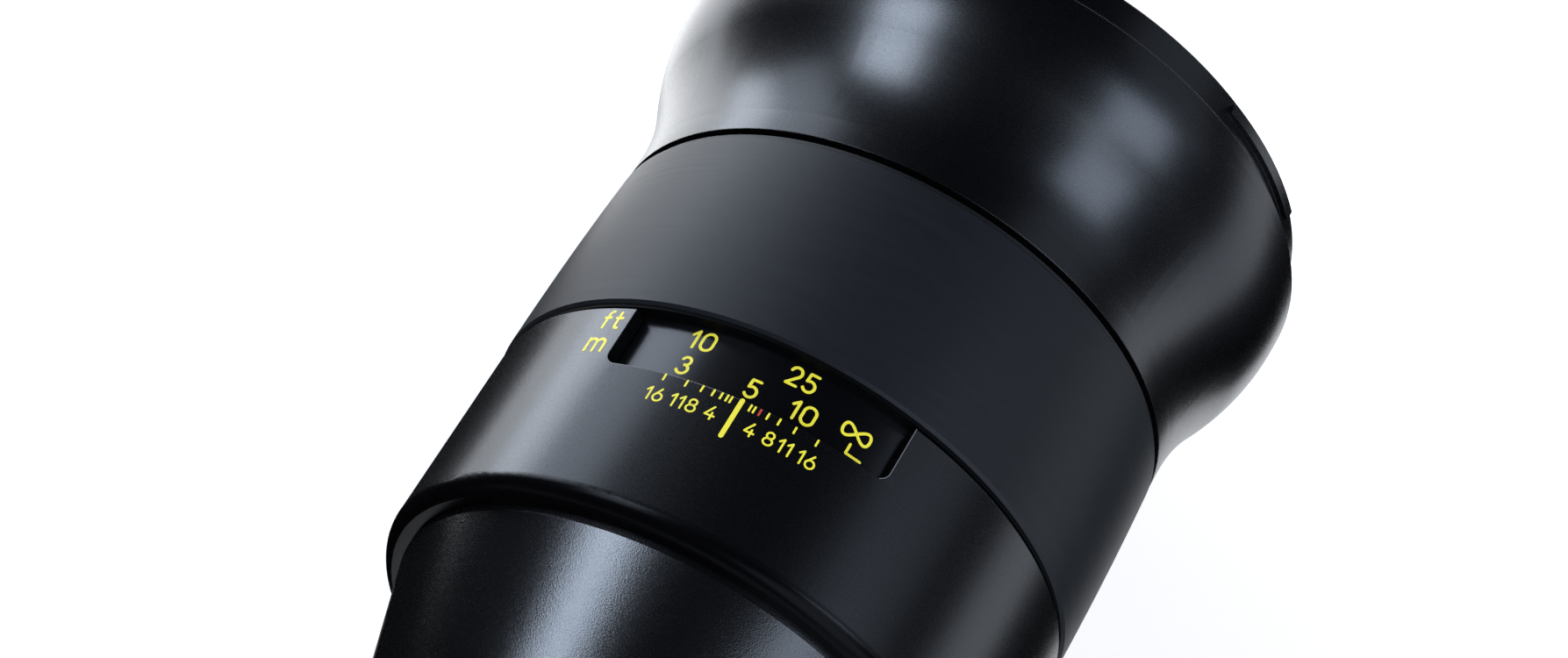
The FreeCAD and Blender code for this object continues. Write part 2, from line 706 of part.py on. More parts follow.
def groove_tool(azimuth):
    """Cutter for one helical groove, which a guide key follows as the ring turns."""
    turn = focus_turn + 2 * cam_groove_margin
    first_turn = -focus_from_infinity - cam_groove_margin
    inner = guide_outer - past
    outer = cam_tube_inner + cam_groove_depth
    half_width = key_radius + key_gap
    helix = Part.makeHelix(helix_lead, helix_lead * turn / full_turn, inner, 0, True)
    section = Part.makePolygon([
        FreeCAD.Vector(inner, 0, -half_width), FreeCAD.Vector(outer, 0, -half_width),
        FreeCAD.Vector(outer, 0, half_width), FreeCAD.Vector(inner, 0, half_width),
        FreeCAD.Vector(inner, 0, -half_width),
    ])
    sweep = Part.BRepOffsetAPI.MakePipeShell(helix)
    sweep.setBiNormalMode(FreeCAD.Vector(0, 0, 1))
    sweep.add(section)
    sweep.build()
    sweep.makeSolid()
    groove = solid(sweep.shape())
    groove.rotate(ORIGIN, FreeCAD.Vector(1, 0, 0), 90)
    groove.rotate(ORIGIN, FORWARD, 90.0 + azimuth - first_turn)
    groove.translate(FORWARD * (key_station + rest_travel + helix_lead * first_turn / full_turn))
    for turn_angle in (first_turn, first_turn + turn):
        station = key_station + rest_travel + helix_lead * turn_angle / full_turn
        groove = groove.fuse(radial_pin(half_width, azimuth - turn_angle, station, inner, outer))
    return groove


def make_cam_tube():
    shape = ring(cam_tube_inner, cam_tube_outer, cam_tube_rear, cam_tube_front)
    for azimuth in around(key_count, key_first_azimuth):
        shape = shape.cut(groove_tool(azimuth))
    for azimuth in around(focus_screw_count, focus_screw_first_azimuth):
        shape = shape.cut(radial_pin(focus_screw_radius + fit_gap, azimuth, focus_screw_station,
                                     cam_tube_outer - focus_screw_depth, cam_tube_outer + past))
    return shape


def make_focus_screws():
    end = cam_tube_outer - focus_screw_depth + focus_screw_end_gap
    return Part.makeCompound([
        radial_pin(focus_screw_radius, azimuth, focus_screw_station, end,
                   focus_sleeve_outer - focus_screw_end_gap)
        for azimuth in around(focus_screw_count, focus_screw_first_azimuth)
    ])


def make_stop_lug():
    return ring(cam_tube_inner, cam_tube_outer, cam_tube_rear - stop_length + free_gap, cam_tube_rear,
                stop_lug_azimuth - stop_lug_width / 2, stop_lug_width)


# Sliding optical unit, at its infinity stations

def make_front_barrel():
    rear = front_barrel_rear
    rise = front_barrel_radius - front_barrel_rear_radius
    run = flare_front - flare_rear
    slope = 2 * math.atan(rise / run)
    concave_radius = flare_concave_share * run / math.sin(slope)
    convex_radius = run / math.sin(slope) - concave_radius
    half = slope / 2
    turn_radius = front_barrel_rear_radius + concave_radius * (1 - math.cos(slope))
    turn_station = flare_rear + concave_radius * math.sin(slope)
    skirt_outer = focus_sleeve_inner - free_gap
    profile = [
        (skirt_outer - skirt_wall, skirt_rear),
        (skirt_outer, skirt_rear),
        (skirt_outer, rear),
        (front_barrel_rear_radius, rear),
        (front_barrel_rear_radius, flare_rear),
        (front_barrel_rear_radius + concave_radius * (1 - math.cos(half)),
         flare_rear + concave_radius * math.sin(half), turn_radius, turn_station),
        (front_barrel_radius - convex_radius * (1 - math.cos(half)),
         flare_front - convex_radius * math.sin(half), front_barrel_radius, flare_front),
        (front_barrel_radius, front_barrel_front - front_barrel_chamfer),
        (front_barrel_radius - front_barrel_chamfer, front_barrel_front),
        (hood_ring_radius, front_barrel_front),
        (hood_ring_radius, hood_ring_rear),
        (turn_radius - front_barrel_wall, hood_ring_rear),
        (lens_tube_flange_radius + free_gap, front_web_front),
        (front_cell_flange_radius + fit_gap, front_web_front),
        (front_cell_flange_radius + fit_gap, front_web_rear),
        (lens_tube_flange_radius + fit_gap, front_web_rear),
        (lens_tube_flange_radius + fit_gap, rear + skirt_slope_front),
        (skirt_outer - skirt_wall, rear + skirt_slope_rear),
    ]
    shape = turned(profile)
    for azimuth in around(front_screw_count, screw_azimuth):
        shape = shape.cut(axial_pin(front_screw_radius + fit_gap, front_screw_circle, azimuth,
                                    front_web_rear - past, front_web_front + past))
    return shape


def make_front_screws():
    screws = []
    for azimuth in around(front_screw_count, screw_azimuth):
        shank = axial_pin(front_screw_radius, front_screw_circle, azimuth,
                          front_web_rear - front_screw_depth, front_web_front)
        head = axial_pin(front_screw_head, front_screw_circle, azimuth,
                         front_web_front, front_web_front + front_screw_head_height)
        screws.append(shank.fuse(head))
    return Part.makeCompound(screws)


def make_hood_ring():
    thread_rear = front_rim - filter_thread_length
    profile = [
        (hood_ring_counterbore, hood_ring_rear), (hood_ring_radius, hood_ring_rear),
        (hood_ring_radius, front_rim - hood_ring_chamfer),
        (hood_ring_radius - hood_ring_chamfer, front_rim),
        (filter_thread_radius, front_rim),
        (filter_thread_radius, thread_rear), (hood_ring_counterbore, thread_rear),
    ]
    shape = turned(profile)
    lug_rear = front_rim - hood_lug_setback - hood_lug_length
    for azimuth in around(hood_lug_count, hood_lug_azimuth - hood_lug_width / 2):
        shape = shape.fuse(ring(hood_ring_radius - join, hood_lug_radius, lug_rear,
                                lug_rear + hood_lug_length, azimuth, hood_lug_width))
    return shape


def make_front_bezel():
    rear = front_cell_front + bezel_rear_gap
    front = front_rim - filter_thread_length - bezel_front_gap
    outer = hood_ring_counterbore - fit_gap
    return turned([(bezel_inner, rear), (outer, rear), (outer, front),
                   (outer - bezel_rim, front), (bezel_inner, rear + bezel_edge_thickness)])


def make_lens_tube():
    outer = lens_tube_outer
    inner = lens_tube_inner
    profile = [
        (inner, lens_tube_rear), (outer, lens_tube_rear),
        (outer, front_web_rear - lens_tube_flange_thickness),
        (lens_tube_flange_radius, front_web_rear - lens_tube_flange_thickness),
        (lens_tube_flange_radius, front_web_rear),
        (inner, front_web_rear),
        (inner, iris_base_rear),
        (iris_shoulder_inner, iris_base_rear),
        (iris_shoulder_inner, iris_base_rear - iris_shoulder_length),
        (inner, iris_base_rear - iris_shoulder_length),
        (inner, rear_lip_front),
        (rear_lip_inner, rear_lip_front),
        (rear_lip_inner, rear_lip_rear),
        (inner, rear_lip_rear),
    ]
    shape = turned(profile)
    for azimuth in around(key_count, key_first_azimuth):
        shape = shape.cut(radial_pin(key_radius * key_stem_share, azimuth, key_station,
                                     inner + key_stem_floor, outer + past))
    for azimuth in around(front_screw_count, screw_azimuth):
        shape = shape.cut(axial_pin(front_screw_radius + fit_gap, front_screw_circle, azimuth,
                                    front_web_rear - front_screw_depth - front_screw_end_gap,
                                    front_web_rear + past))
    return shape


def make_guide_keys():
    outer = lens_tube_outer
    top = cam_tube_inner + cam_groove_depth - key_gap
    stem_end = lens_tube_inner + key_stem_floor + key_stem_end_gap
    keys = []
    for azimuth in around(key_count, key_first_azimuth):
        stem = radial_pin(key_radius * key_stem_share, azimuth, key_station, stem_end, outer + key_gap)
        key = radial_pin(key_radius, azimuth, key_station, outer, top)
        seat = axial_pin(outer, 0, 0, key_station - 2 * key_radius, key_station + 2 * key_radius)
        keys.append(key.cut(seat).fuse(stem))
    return Part.makeCompound(keys)


class Glass:
    """One glass at its station, with radii that follow its cell."""

    def __init__(self, sizes, cell_front, scale):
        name, edge, vertex, thickness, front_radius, rear_radius = sizes
        self.name = name
        self.edge = edge * scale
        self.vertex = cell_front + vertex
        self.thickness = thickness
        self.front_radius = front_radius * scale
        self.rear_radius = rear_radius * scale

    def front_surface(self, radius):
        return self.vertex - sag(self.front_radius, radius)

    def rear_surface(self, radius):
        return self.vertex - self.thickness - sag(self.rear_radius, radius)

    def rear_seat(self, inner):
        """Station of a flat shoulder, open inside a radius, that the glass rests on from the front."""
        return min(self.rear_surface(self.edge), self.rear_surface(inner))

    def front_seat(self):
        """Station of a flat ring that rests on the front of the glass."""
        return max(self.front_surface(self.edge), self.front_surface(self.edge - seat_width))

    def bore(self):
        return self.edge + fit_gap


front_glass = [Glass(sizes, front_cell_front, front_glass_scale) for sizes in front_glass_table]
rear_glass = [Glass(sizes, rear_cell_front, 1.0) for sizes in rear_glass_table]


def make_glass(glass):
    middle = glass.edge / 2
    profile = [
        (0.0, glass.vertex - glass.thickness),
        (middle, glass.rear_surface(middle), glass.edge, glass.rear_surface(glass.edge)),
        (glass.edge, glass.front_surface(glass.edge)),
        (middle, glass.front_surface(middle), 0.0, glass.vertex),
    ]
    return turned(profile)


def stepped_bore(glasses, front):
    """Inner profile of a cell, from its front to its last shoulder, one step per seated glass."""
    points = [(glasses[0].bore(), front)]
    shoulders = [following.bore() for following in glasses[1:]]
    shoulders.append(glasses[-1].edge - seat_width)
    for glass, shoulder in zip(glasses, shoulders):
        points.append((glass.bore(), glass.rear_seat(shoulder)))
        points.append((shoulder, glass.rear_seat(shoulder)))
    return points


def seated(glasses):
    """The glasses that rest on a shoulder: a cemented glass rests on the one behind it."""
    return [glass for glass in glasses if glass.name not in cemented]


def make_front_cell():
    profile = [
        (cell_radius, front_cell_rear), (cell_radius, front_web_rear),
        (front_cell_flange_radius, front_web_rear),
        (front_cell_flange_radius, front_web_front),
        (front_cell_radius, front_web_front),
        (front_cell_radius, front_cell_front),
    ]
    profile += stepped_bore(seated(front_glass), front_cell_front)
    profile.append((front_glass[-1].edge - seat_width, front_cell_rear))
    return turned(profile)


def make_rear_cell():
    profile = [
        (rear_cell_radius, rear_cell_rear), (rear_cell_radius, rear_lip_front),
        (cell_radius, rear_lip_front), (cell_radius, motor_rear),
        (rear_cell_radius, motor_rear), (rear_cell_radius, rear_cell_front),
    ]
    profile += stepped_bore(seated(rear_glass), rear_cell_front)
    profile.append((rear_glass[-1].edge - seat_width, rear_cell_rear))
    shape = turned(profile)
    boss_hole = axial_pin(2 * motor_shaft_radius, motor_circle, pinion_azimuth,
                          rear_lip_front - past, motor_rear + past)
    return shape.cut(boss_hole)


def make_retaining_ring(glass):
    rear = glass.front_seat()
    return ring(glass.edge - seat_width, glass.bore(), rear, rear + ring_thickness)


def make_spacer(glass, ahead):
    """Thin ring between a glass and the one ahead of it, in the bore of the first."""
    outer = glass.bore()
    inner = outer - spacer_wall
    rear = max(glass.front_surface(inner), glass.front_surface(glass.edge))
    front = min(ahead.rear_surface(inner), ahead.rear_surface(outer))
    return ring(inner, outer, rear, front)


# Iris

def drive_point(blade_angle):
    """Drive pin of the first blade, as (across, up) in the plane with the pivot at azimuth 0 and
    azimuth growing to the left, when the blade has turned by an angle."""
    angle = math.radians(blade_angle)
    return (drive_pin_arm * math.cos(angle), blade_pivot_circle - drive_pin_arm * math.sin(angle))


def polar(across, up):
    return math.hypot(across, up), math.degrees(math.atan2(across, up))


def cam_point(ring_angle):
    """Drive pin as the cam ring sees it, when the ring has turned by an angle."""
    radius, azimuth = polar(*drive_point(ring_angle * blade_turn / iris_turn))
    return at(radius, azimuth - ring_angle, 0)


def make_iris_base():
    profile = [
        (iris_collar_inner, iris_collar_rear), (iris_collar_outer, iris_collar_rear),
        (iris_collar_outer, iris_base_rear), (cell_radius, iris_base_rear),
        (cell_radius, iris_cover_rear), (iris_wall_inner, iris_cover_rear),
        (iris_wall_inner, iris_base_front), (iris_opening, iris_base_front),
    ]
    shape = turned(profile)
    for azimuth in around(blade_count):
        shape = shape.cut(axial_pin(pivot_pin_radius + iris_pin_gap, blade_pivot_circle, azimuth,
                                    iris_base_rear - past, iris_base_front + past))
        shape = shape.cut(drive_slot(azimuth))
    return shape


def drive_slot(azimuth):
    """Cutter for the arc slot about a blade's pivot that its drive pin passes through."""
    half_width = drive_pin_radius + 2 * iris_pin_gap
    inner = drive_pin_arm - half_width
    outer = drive_pin_arm + half_width
    rear = iris_base_rear - past
    front = iris_base_front + past
    pivot = at(blade_pivot_circle, 0, rear)
    bar = Part.Face(Part.makePolygon([
        pivot + FreeCAD.Vector(-inner, 0, 0), pivot + FreeCAD.Vector(-outer, 0, 0),
        pivot + FreeCAD.Vector(-outer, rear - front, 0), pivot + FreeCAD.Vector(-inner, rear - front, 0),
        pivot + FreeCAD.Vector(-inner, 0, 0),
    ]))
    shape = solid(bar.revolve(pivot, FORWARD, blade_turn + 2 * drive_slot_margin))
    shape.rotate(pivot, FORWARD, -drive_slot_margin)
    for turn in (-drive_slot_margin, blade_turn + drive_slot_margin):
        radius, pin_azimuth = polar(*drive_point(turn))
        shape = shape.fuse(axial_pin(half_width, radius, pin_azimuth, rear, front))
    shape.rotate(ORIGIN, FORWARD, azimuth)
    return shape


def make_iris_cover():
    return ring(iris_opening, cell_radius, iris_cover_rear, iris_cover_front)


def make_iris_clip():
    return ring(iris_collar_outer, iris_clip_radius, iris_collar_rear, iris_clip_front)


def cam_slot_tool(azimuth, rear, front):
    """Cutter for one cam slot. Its middle line is the path of the drive pin, and its sides lie to
    either side of that line by the pin's radius and a gap."""
    half_width = drive_pin_radius + iris_pin_gap
    steps = 6
    turn = iris_turn + 2 * cam_slot_margin
    angles = [turn * step / steps - cam_slot_margin for step in range(steps + 1)]
    sides = ([], [])
    for angle in angles:
        centre = cam_point(angle)
        along = (cam_point(angle + 0.1) - cam_point(angle - 0.1)).normalize()
        across = FORWARD.cross(along)
        sides[0].append(centre + across * half_width)
        sides[1].append(centre - across * half_width)
    edges = []
    first_side = Part.BSplineCurve()
    first_side.interpolate(sides[0])
    edges.append(first_side.toShape())
    end_along = (cam_point(angles[-1] + 0.1) - cam_point(angles[-1] - 0.1)).normalize()
    edges.append(Part.Arc(sides[0][-1], cam_point(angles[-1]) + end_along * half_width,
                          sides[1][-1]).toShape())
    second_side = Part.BSplineCurve()
    second_side.interpolate(sides[1][::-1])
    edges.append(second_side.toShape())
    start_along = (cam_point(angles[0] + 0.1) - cam_point(angles[0] - 0.1)).normalize()
    edges.append(Part.Arc(sides[1][0], cam_point(angles[0]) - start_along * half_width,
                          sides[0][0]).toShape())
    shape = Part.Face(Part.Wire(edges)).extrude(FORWARD * (front - rear))
    shape.translate(FORWARD * rear)
    shape.rotate(ORIGIN, FORWARD, azimuth)
    return solid(shape)


def tooth(pitch_radius, count, addendum, dedendum, centre_azimuth, rear, front, backing):
    """One straight-sided gear tooth. A negative addendum points to the axis, as on an inner gear."""
    pitch_angle = full_turn / count
    half = pitch_angle * gear_tooth_share / 2
    tip_half = half * gear_tip_share
    root_half = half * gear_root_share
    corners = [
        at(pitch_radius - dedendum - backing, centre_azimuth - root_half, rear),
        at(pitch_radius - dedendum, centre_azimuth - root_half, rear),
        at(pitch_radius + addendum, centre_azimuth - tip_half, rear),
        at(pitch_radius + addendum, centre_azimuth + tip_half, rear),
        at(pitch_radius - dedendum, centre_azimuth + root_half, rear),
        at(pitch_radius - dedendum - backing, centre_azimuth + root_half, rear),
    ]
    face = Part.Face(Part.makePolygon(corners + corners[:1]))
    return solid(face.extrude(FORWARD * (front - rear)))


def make_iris_cam_ring():
    front = cam_ring_rear + cam_ring_thickness
    shape = ring(iris_collar_outer + running, cam_ring_radius, cam_ring_rear, front)
    for azimuth in around(blade_count):
        shape = shape.cut(cam_slot_tool(azimuth, cam_ring_rear - past, front + past))
    root_radius = ring_pitch_radius + gear_dedendum
    pitch_angle = full_turn / ring_teeth
    tooth_number = int((iris_turn / 2 + gear_teeth_margin) / pitch_angle)
    middle = pinion_azimuth - iris_turn / 2
    sector_half = iris_turn / 2 + gear_rim_margin
    rim = ring(root_radius, root_radius + gear_rim, gear_rear, front,
               middle - sector_half, 2 * sector_half)
    foot = ring(cam_ring_radius - join, root_radius + gear_rim, cam_ring_rear, front,
                middle - sector_half, 2 * sector_half)
    shape = shape.fuse([rim, foot])
    first_tooth = math.ceil((middle - tooth_number * pitch_angle) / pitch_angle)
    teeth = []
    for index in range(2 * tooth_number + 1):
        azimuth = (first_tooth + index) * pitch_angle
        teeth.append(tooth(ring_pitch_radius, ring_teeth, -gear_addendum, -gear_dedendum, azimuth,
                           gear_rear, cam_ring_rear, -ring_tooth_backing))
    return shape.fuse(teeth).removeSplitter()


def make_iris_pinion():
    """Pinion with one tooth gap facing the tooth of the ring that lies nearest to its centre line."""
    pitch_radius = gear_module * pinion_teeth / 2
    rear = gear_rear + pinion_gap_rear
    front = cam_ring_rear - pinion_gap_front
    body = axial_pin(pitch_radius - gear_dedendum, 0, 0, rear, front)
    ring_pitch = full_turn / ring_teeth
    nearest = round(pinion_azimuth / ring_pitch) * ring_pitch
    offset = (nearest - pinion_azimuth) * ring_teeth / pinion_teeth
    teeth = [
        tooth(pitch_radius, pinion_teeth, gear_addendum, gear_dedendum, azimuth, rear, front,
              pinion_tooth_backing)
        for azimuth in around(pinion_teeth, pinion_azimuth + offset + 180.0 / pinion_teeth)
    ]
    shape = body.fuse(teeth)
    shape = shape.cut(axial_pin(motor_shaft_radius + motor_shaft_gap, 0, 0, rear - past, front + past))
    shape.translate(at(motor_circle, pinion_azimuth, 0))
    return shape


def make_iris_motor():
    body = axial_pin(motor_radius, motor_circle, pinion_azimuth, motor_rear, motor_front)
    collar = axial_pin(2 * motor_shaft_radius, motor_circle, pinion_azimuth,
                       motor_front, motor_front + motor_collar_length)
    shaft = axial_pin(motor_shaft_radius, motor_circle, pinion_azimuth,
                      motor_front, cam_ring_rear - pinion_gap_rear)
    return body.fuse([collar, shaft])


def make_blade(azimuth):
    """Crescent blade, tilted about its pivot so that it passes over the next blade and under the
    one before. Its two pins point to the rear: the pivot and the drive pin."""
    station = blade_station
    round_end = (blade_outer - blade_inner) / 2
    middle = (blade_outer + blade_inner) / 2
    tail = -blade_tail
    tip = blade_tip
    end_angle = math.degrees(round_end / middle)
    edges = [
        Part.Arc(at(blade_inner, tail, station), at(blade_inner, (tip + tail) / 2, station),
                 at(blade_inner, tip, station)).toShape(),
        Part.Arc(at(blade_inner, tip, station), at(middle, tip + end_angle, station),
                 at(blade_outer, tip, station)).toShape(),
        Part.Arc(at(blade_outer, tip, station), at(blade_outer, (tip + tail) / 2, station),
                 at(blade_outer, tail, station)).toShape(),
        Part.Arc(at(blade_outer, tail, station), at(middle, tail - end_angle * blade_tail_roundness, station),
                 at(blade_inner, tail, station)).toShape(),
    ]
    leaf = Part.Face(Part.Wire(edges)).extrude(FORWARD * blade_thickness)
    pivot = at(blade_pivot_circle, 0, station)
    uphill = at(1, blade_tilt_azimuth, 0)
    leaf.rotate(pivot, uphill.cross(FORWARD), blade_tilt)
    leaf = solid(leaf)
    radius, pin_azimuth = polar(*drive_point(0))
    drive = at(radius, pin_azimuth, station)
    rise = (drive - pivot).dot(uphill) * math.tan(math.radians(blade_tilt))
    pivot_pin = axial_pin(pivot_pin_radius, blade_pivot_circle, 0, iris_base_rear + iris_pin_gap,
                          station + blade_thickness / 2)
    drive_pin = axial_pin(drive_pin_radius, radius, pin_azimuth, cam_ring_rear + iris_pin_gap,
                          station + rise + blade_thickness / 2)
    blade = leaf.fuse([pivot_pin, drive_pin])
    blade.rotate(ORIGIN, FORWARD, azimuth)
    return blade


# The whole lens

def fixed_parts():
    return {
        "mount_bayonet": make_mount_bayonet(),
        "mount_screws": make_mount_screws(),
        "contact_block": make_contact_block(),
        "contact_pins": make_contact_pins(),
        "rear_baffle": make_rear_baffle(),
        "rear_barrel": make_rear_barrel(),
        "circuit_board": make_circuit_board(),
        "scale_barrel": make_scale_barrel(),
        "guide_tube": make_guide_tube(),
        "barrel_screws": make_barrel_screws(),
        "cam_retaining_ring": make_cam_retaining_ring(),
        "focus_stop": make_focus_stop(),
    }


def turning_parts():
    return {
        "focus_ring": make_focus_ring(),
        "rubber_grip": make_rubber_grip(),
        "distance_scale_ring": make_distance_scale_ring(),
        "cam_tube": make_cam_tube(),
        "focus_screws": make_focus_screws(),
        "stop_lug": make_stop_lug(),
    }


def sliding_parts():
    parts = {
        "front_barrel": make_front_barrel(),
        "front_screws": make_front_screws(),
        "hood_ring": make_hood_ring(),
        "front_bezel": make_front_bezel(),
        "lens_tube": make_lens_tube(),
        "guide_keys": make_guide_keys(),
        "front_cell": make_front_cell(),
        "rear_cell": make_rear_cell(),
        "iris_base": make_iris_base(),
        "iris_cover": make_iris_cover(),
        "iris_clip": make_iris_clip(),
        "iris_motor": make_iris_motor(),
        "iris_cam_ring": make_iris_cam_ring(),
        "iris_pinion": make_iris_pinion(),
    }
    for glass in front_glass + rear_glass:
        parts[glass.name] = make_glass(glass)
    for number, glass in enumerate(front_glass, 1):
        parts["retaining_ring_%d" % number] = make_retaining_ring(glass)
    parts["retaining_ring_5"] = make_retaining_ring(rear_glass[0])
    parts["spacer_1"] = make_spacer(rear_glass[2], rear_glass[1])
    parts["spacer_2"] = make_spacer(rear_glass[3], rear_glass[2])
    for number, azimuth in enumerate(around(blade_count), 1):
        parts["iris_blade_%d" % number] = make_blade(azimuth)
    for shape in parts.values():
        shape.translate(FORWARD * rest_travel)
    return parts


def main():
    os.makedirs("parts", exist_ok=True)
    for group in (fixed_parts(), turning_parts(), sliding_parts()):
        for name, shape in group.items():
            if not shape.isValid():
                print("not valid:", name)
            shape.exportStep("parts/%s.step" % name)
            print(name, len(shape.Solids), round(shape.Volume, 2))


main()
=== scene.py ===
import json
import math

import bmesh
import bpy
from mathutils import Matrix, Vector


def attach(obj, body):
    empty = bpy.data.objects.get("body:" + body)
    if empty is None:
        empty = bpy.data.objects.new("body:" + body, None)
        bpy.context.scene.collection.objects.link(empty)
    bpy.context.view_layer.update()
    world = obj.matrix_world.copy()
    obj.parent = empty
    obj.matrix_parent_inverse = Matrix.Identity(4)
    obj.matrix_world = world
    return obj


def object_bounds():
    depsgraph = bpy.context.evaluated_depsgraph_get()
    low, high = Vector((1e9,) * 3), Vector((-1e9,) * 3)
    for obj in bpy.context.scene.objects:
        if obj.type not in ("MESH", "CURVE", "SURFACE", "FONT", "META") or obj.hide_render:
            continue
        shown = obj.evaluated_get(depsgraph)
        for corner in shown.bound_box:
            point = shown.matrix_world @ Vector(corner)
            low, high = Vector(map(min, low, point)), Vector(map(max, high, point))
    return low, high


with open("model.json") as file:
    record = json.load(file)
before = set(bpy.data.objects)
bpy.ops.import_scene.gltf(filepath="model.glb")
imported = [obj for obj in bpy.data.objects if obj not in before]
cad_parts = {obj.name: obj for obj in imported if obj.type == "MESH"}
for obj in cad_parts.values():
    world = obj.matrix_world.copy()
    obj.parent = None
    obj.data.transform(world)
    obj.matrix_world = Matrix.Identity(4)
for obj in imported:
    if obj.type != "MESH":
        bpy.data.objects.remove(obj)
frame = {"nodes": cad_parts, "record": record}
cad_low, cad_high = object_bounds()

# Sizes of the engraved marks, in millimetres and degrees.
# A mark's place is an azimuth about the lens axis and a distance in front of the mount face.

BARREL_RADIUS = 41.3           # fixed barrel at the rear of its straight part
BARREL_TAPER = 0.1             # by which the radius is less at the front of that part
BARREL_STRAIGHT = (30.0, 57.4)
DISTANCE_RING_RADIUS = 39.07
PAINT_HEIGHT = 0.012
PAINT_DEPTH = 0.05

DEPTH_DEGREES_PER_STOP = 0.9149
DEPTH_STOPS = (2.0, 2.83, 4.0, 5.66, 8.0, 11.31, 16.0)
INFRARED_STOP = 4.0            # stop on the right whose tick is red
DEPTH_TICK_STATION = 47.9
DEPTH_TICK_LENGTH = 0.85
DEPTH_TICK_WIDTH = 0.28
DEPTH_NUMBER_STATION = 44.2
DEPTH_NUMBER_HEIGHT = 1.88
DEPTH_NUMBER_STROKE = 0.27
DEPTH_NUMBERS = (("16", -14.55), ("11", -10.1), ("8", -7.3), ("4", -3.7),
                 ("4", 3.8), ("8", 7.35), ("11", 10.35), ("16", 14.6))
INDEX_REAR = 42.7
INDEX_FRONT = 48.4
INDEX_WIDTH = 0.65
UNITS = (("ft", 2.7, -31.6, 54.1), ("m", 3.2, -32.1, 50.2))  # letters, height, azimuth, station
UNIT_STROKE = 0.44

# Window wall, and the painted highlight line along its right edge and round its corner
WINDOW_AZIMUTH = 28.0          # side wall of the window
WINDOW_REAR = 48.45
WINDOW_CORNER = 1.8
WINDOW_EDGE_LENGTH = 9.0
EDGE_HIGHLIGHT_WIDTH = 0.1

FEET_STATION = 56.0
METRE_STATION = 51.8
DISTANCE_NUMBER_HEIGHT = 2.6
DISTANCE_NUMBER_STROKE = 0.4
INFINITY_AZIMUTH = 19.7
INFINITY_HEIGHT = 2.15
INFINITY_SIGN = (19.85, 52.1)  # azimuth and station of the sign
INFINITY_CORNER = (19.8, 50.1)
CORNER_STROKE = 0.36
CORNER_HEIGHT = 1.4
CORNER_WIDTH = 2.1
HELIX_LEAD = 11.9
FULL_EXTENSION = 8.2           # how far the lens moves out from infinity to its near limit
FAR_SPREAD = 0.083             # how much wider than the plain helix the far marks stand
FOCAL_LENGTH = 55.0
PRINCIPAL_PLANES = 123.0       # film to object distance, less the sum of the two conjugates
FEET = ("1.7", "1.8", "2", "2.3", "2.7", "3.5", "5", "10", "25")
METRES = ("0.5", "0.55", "0.6", "0.7", "0.8", "1", "1.5", "3", "5", "10")
MILLIMETRES_PER_FOOT = 304.8
MILLIMETRES_PER_METRE = 1000.0


# Glyphs drawn with round strokes. A glyph is a list of strokes in a box one unit high.

def bow(centre_x, centre_y, radius_x, radius_y, first, last, steps=14):
    """Points on an ellipse, from one angle to another in degrees, anticlockwise from +x."""
    points = []
    for step in range(steps + 1):
        angle = math.radians(first + (last - first) * step / steps)
        points.append((centre_x + radius_x * math.cos(angle), centre_y + radius_y * math.sin(angle)))
    return points


def infinity_curve(steps=40):
    points = []
    for step in range(steps):
        angle = 2 * math.pi * step / steps
        points.append((0.95 + 0.9 * math.cos(angle), 0.5 + 0.42 * math.sin(2 * angle)))
    return points


# name: (advance width, open strokes, closed strokes)
GLYPHS = {
    "0": (0.62, [], [bow(0.31, 0.69, 0.31, 0.31, 0, 180) + bow(0.31, 0.31, 0.31, 0.31, 180, 360)]),
    "1": (0.30, [[(0.0, 0.74), (0.26, 1.0)], [(0.26, 1.0), (0.26, 0.5), (0.26, 0.0)]], []),
    "2": (0.54, [bow(0.27, 0.71, 0.27, 0.29, 170, -35) + [(0.0, 0.0)],
                 [(0.0, 0.0), (0.27, 0.0), (0.54, 0.0)]], []),
    "3": (0.54, [bow(0.26, 0.76, 0.23, 0.24, 160, -90, 12), bow(0.25, 0.27, 0.29, 0.27, 90, -160)], []),
    "4": (0.66, [[(0.42, 1.0), (0.0, 0.28)], [(0.0, 0.28), (0.33, 0.28), (0.66, 0.28)],
                 [(0.46, 0.52), (0.46, 0.26), (0.46, 0.0)]], []),
    "5": (0.54, [[(0.50, 1.0), (0.28, 1.0), (0.08, 1.0)], [(0.08, 1.0), (0.05, 0.56)],
                 [(0.05, 0.56)] + bow(0.25, 0.31, 0.29, 0.31, 112, -150)], []),
    "6": (0.62, [[(0.40, 1.0), (0.06, 0.46)]], [bow(0.31, 0.31, 0.31, 0.31, 0, 345, 22)]),
    "7": (0.58, [[(0.0, 1.0), (0.3, 1.0), (0.58, 1.0)], [(0.58, 1.0), (0.16, 0.0)]], []),
    "8": (0.62, [], [bow(0.31, 0.76, 0.25, 0.24, 0, 345, 22), bow(0.31, 0.27, 0.31, 0.27, 0, 345, 22)]),
    ".": (0.10, [[(0.05, 0.0), (0.05, 0.01)]], []),
    "f": (0.40, [bow(0.32, 0.82, 0.18, 0.18, 90, 180, 6) + [(0.14, 0.0)], [(0.0, 0.62), (0.34, 0.62)]], []),
    "t": (0.40, [[(0.12, 0.95), (0.12, 0.2)] + bow(0.28, 0.18, 0.16, 0.18, 180, 285, 6),
                 [(0.0, 0.62), (0.34, 0.62)]], []),
    "m": (0.84, [[(0.0, 0.62), (0.0, 0.3), (0.0, 0.0)],
                 bow(0.21, 0.41, 0.21, 0.21, 180, 0, 8) + [(0.42, 0.0)],
                 bow(0.63, 0.41, 0.21, 0.21, 180, 0, 8) + [(0.84, 0.0)]], []),
    "infinity": (1.9, [], [infinity_curve()]),
}
GLYPH_SPACING = 0.30
ROUND_END_STEPS = 6


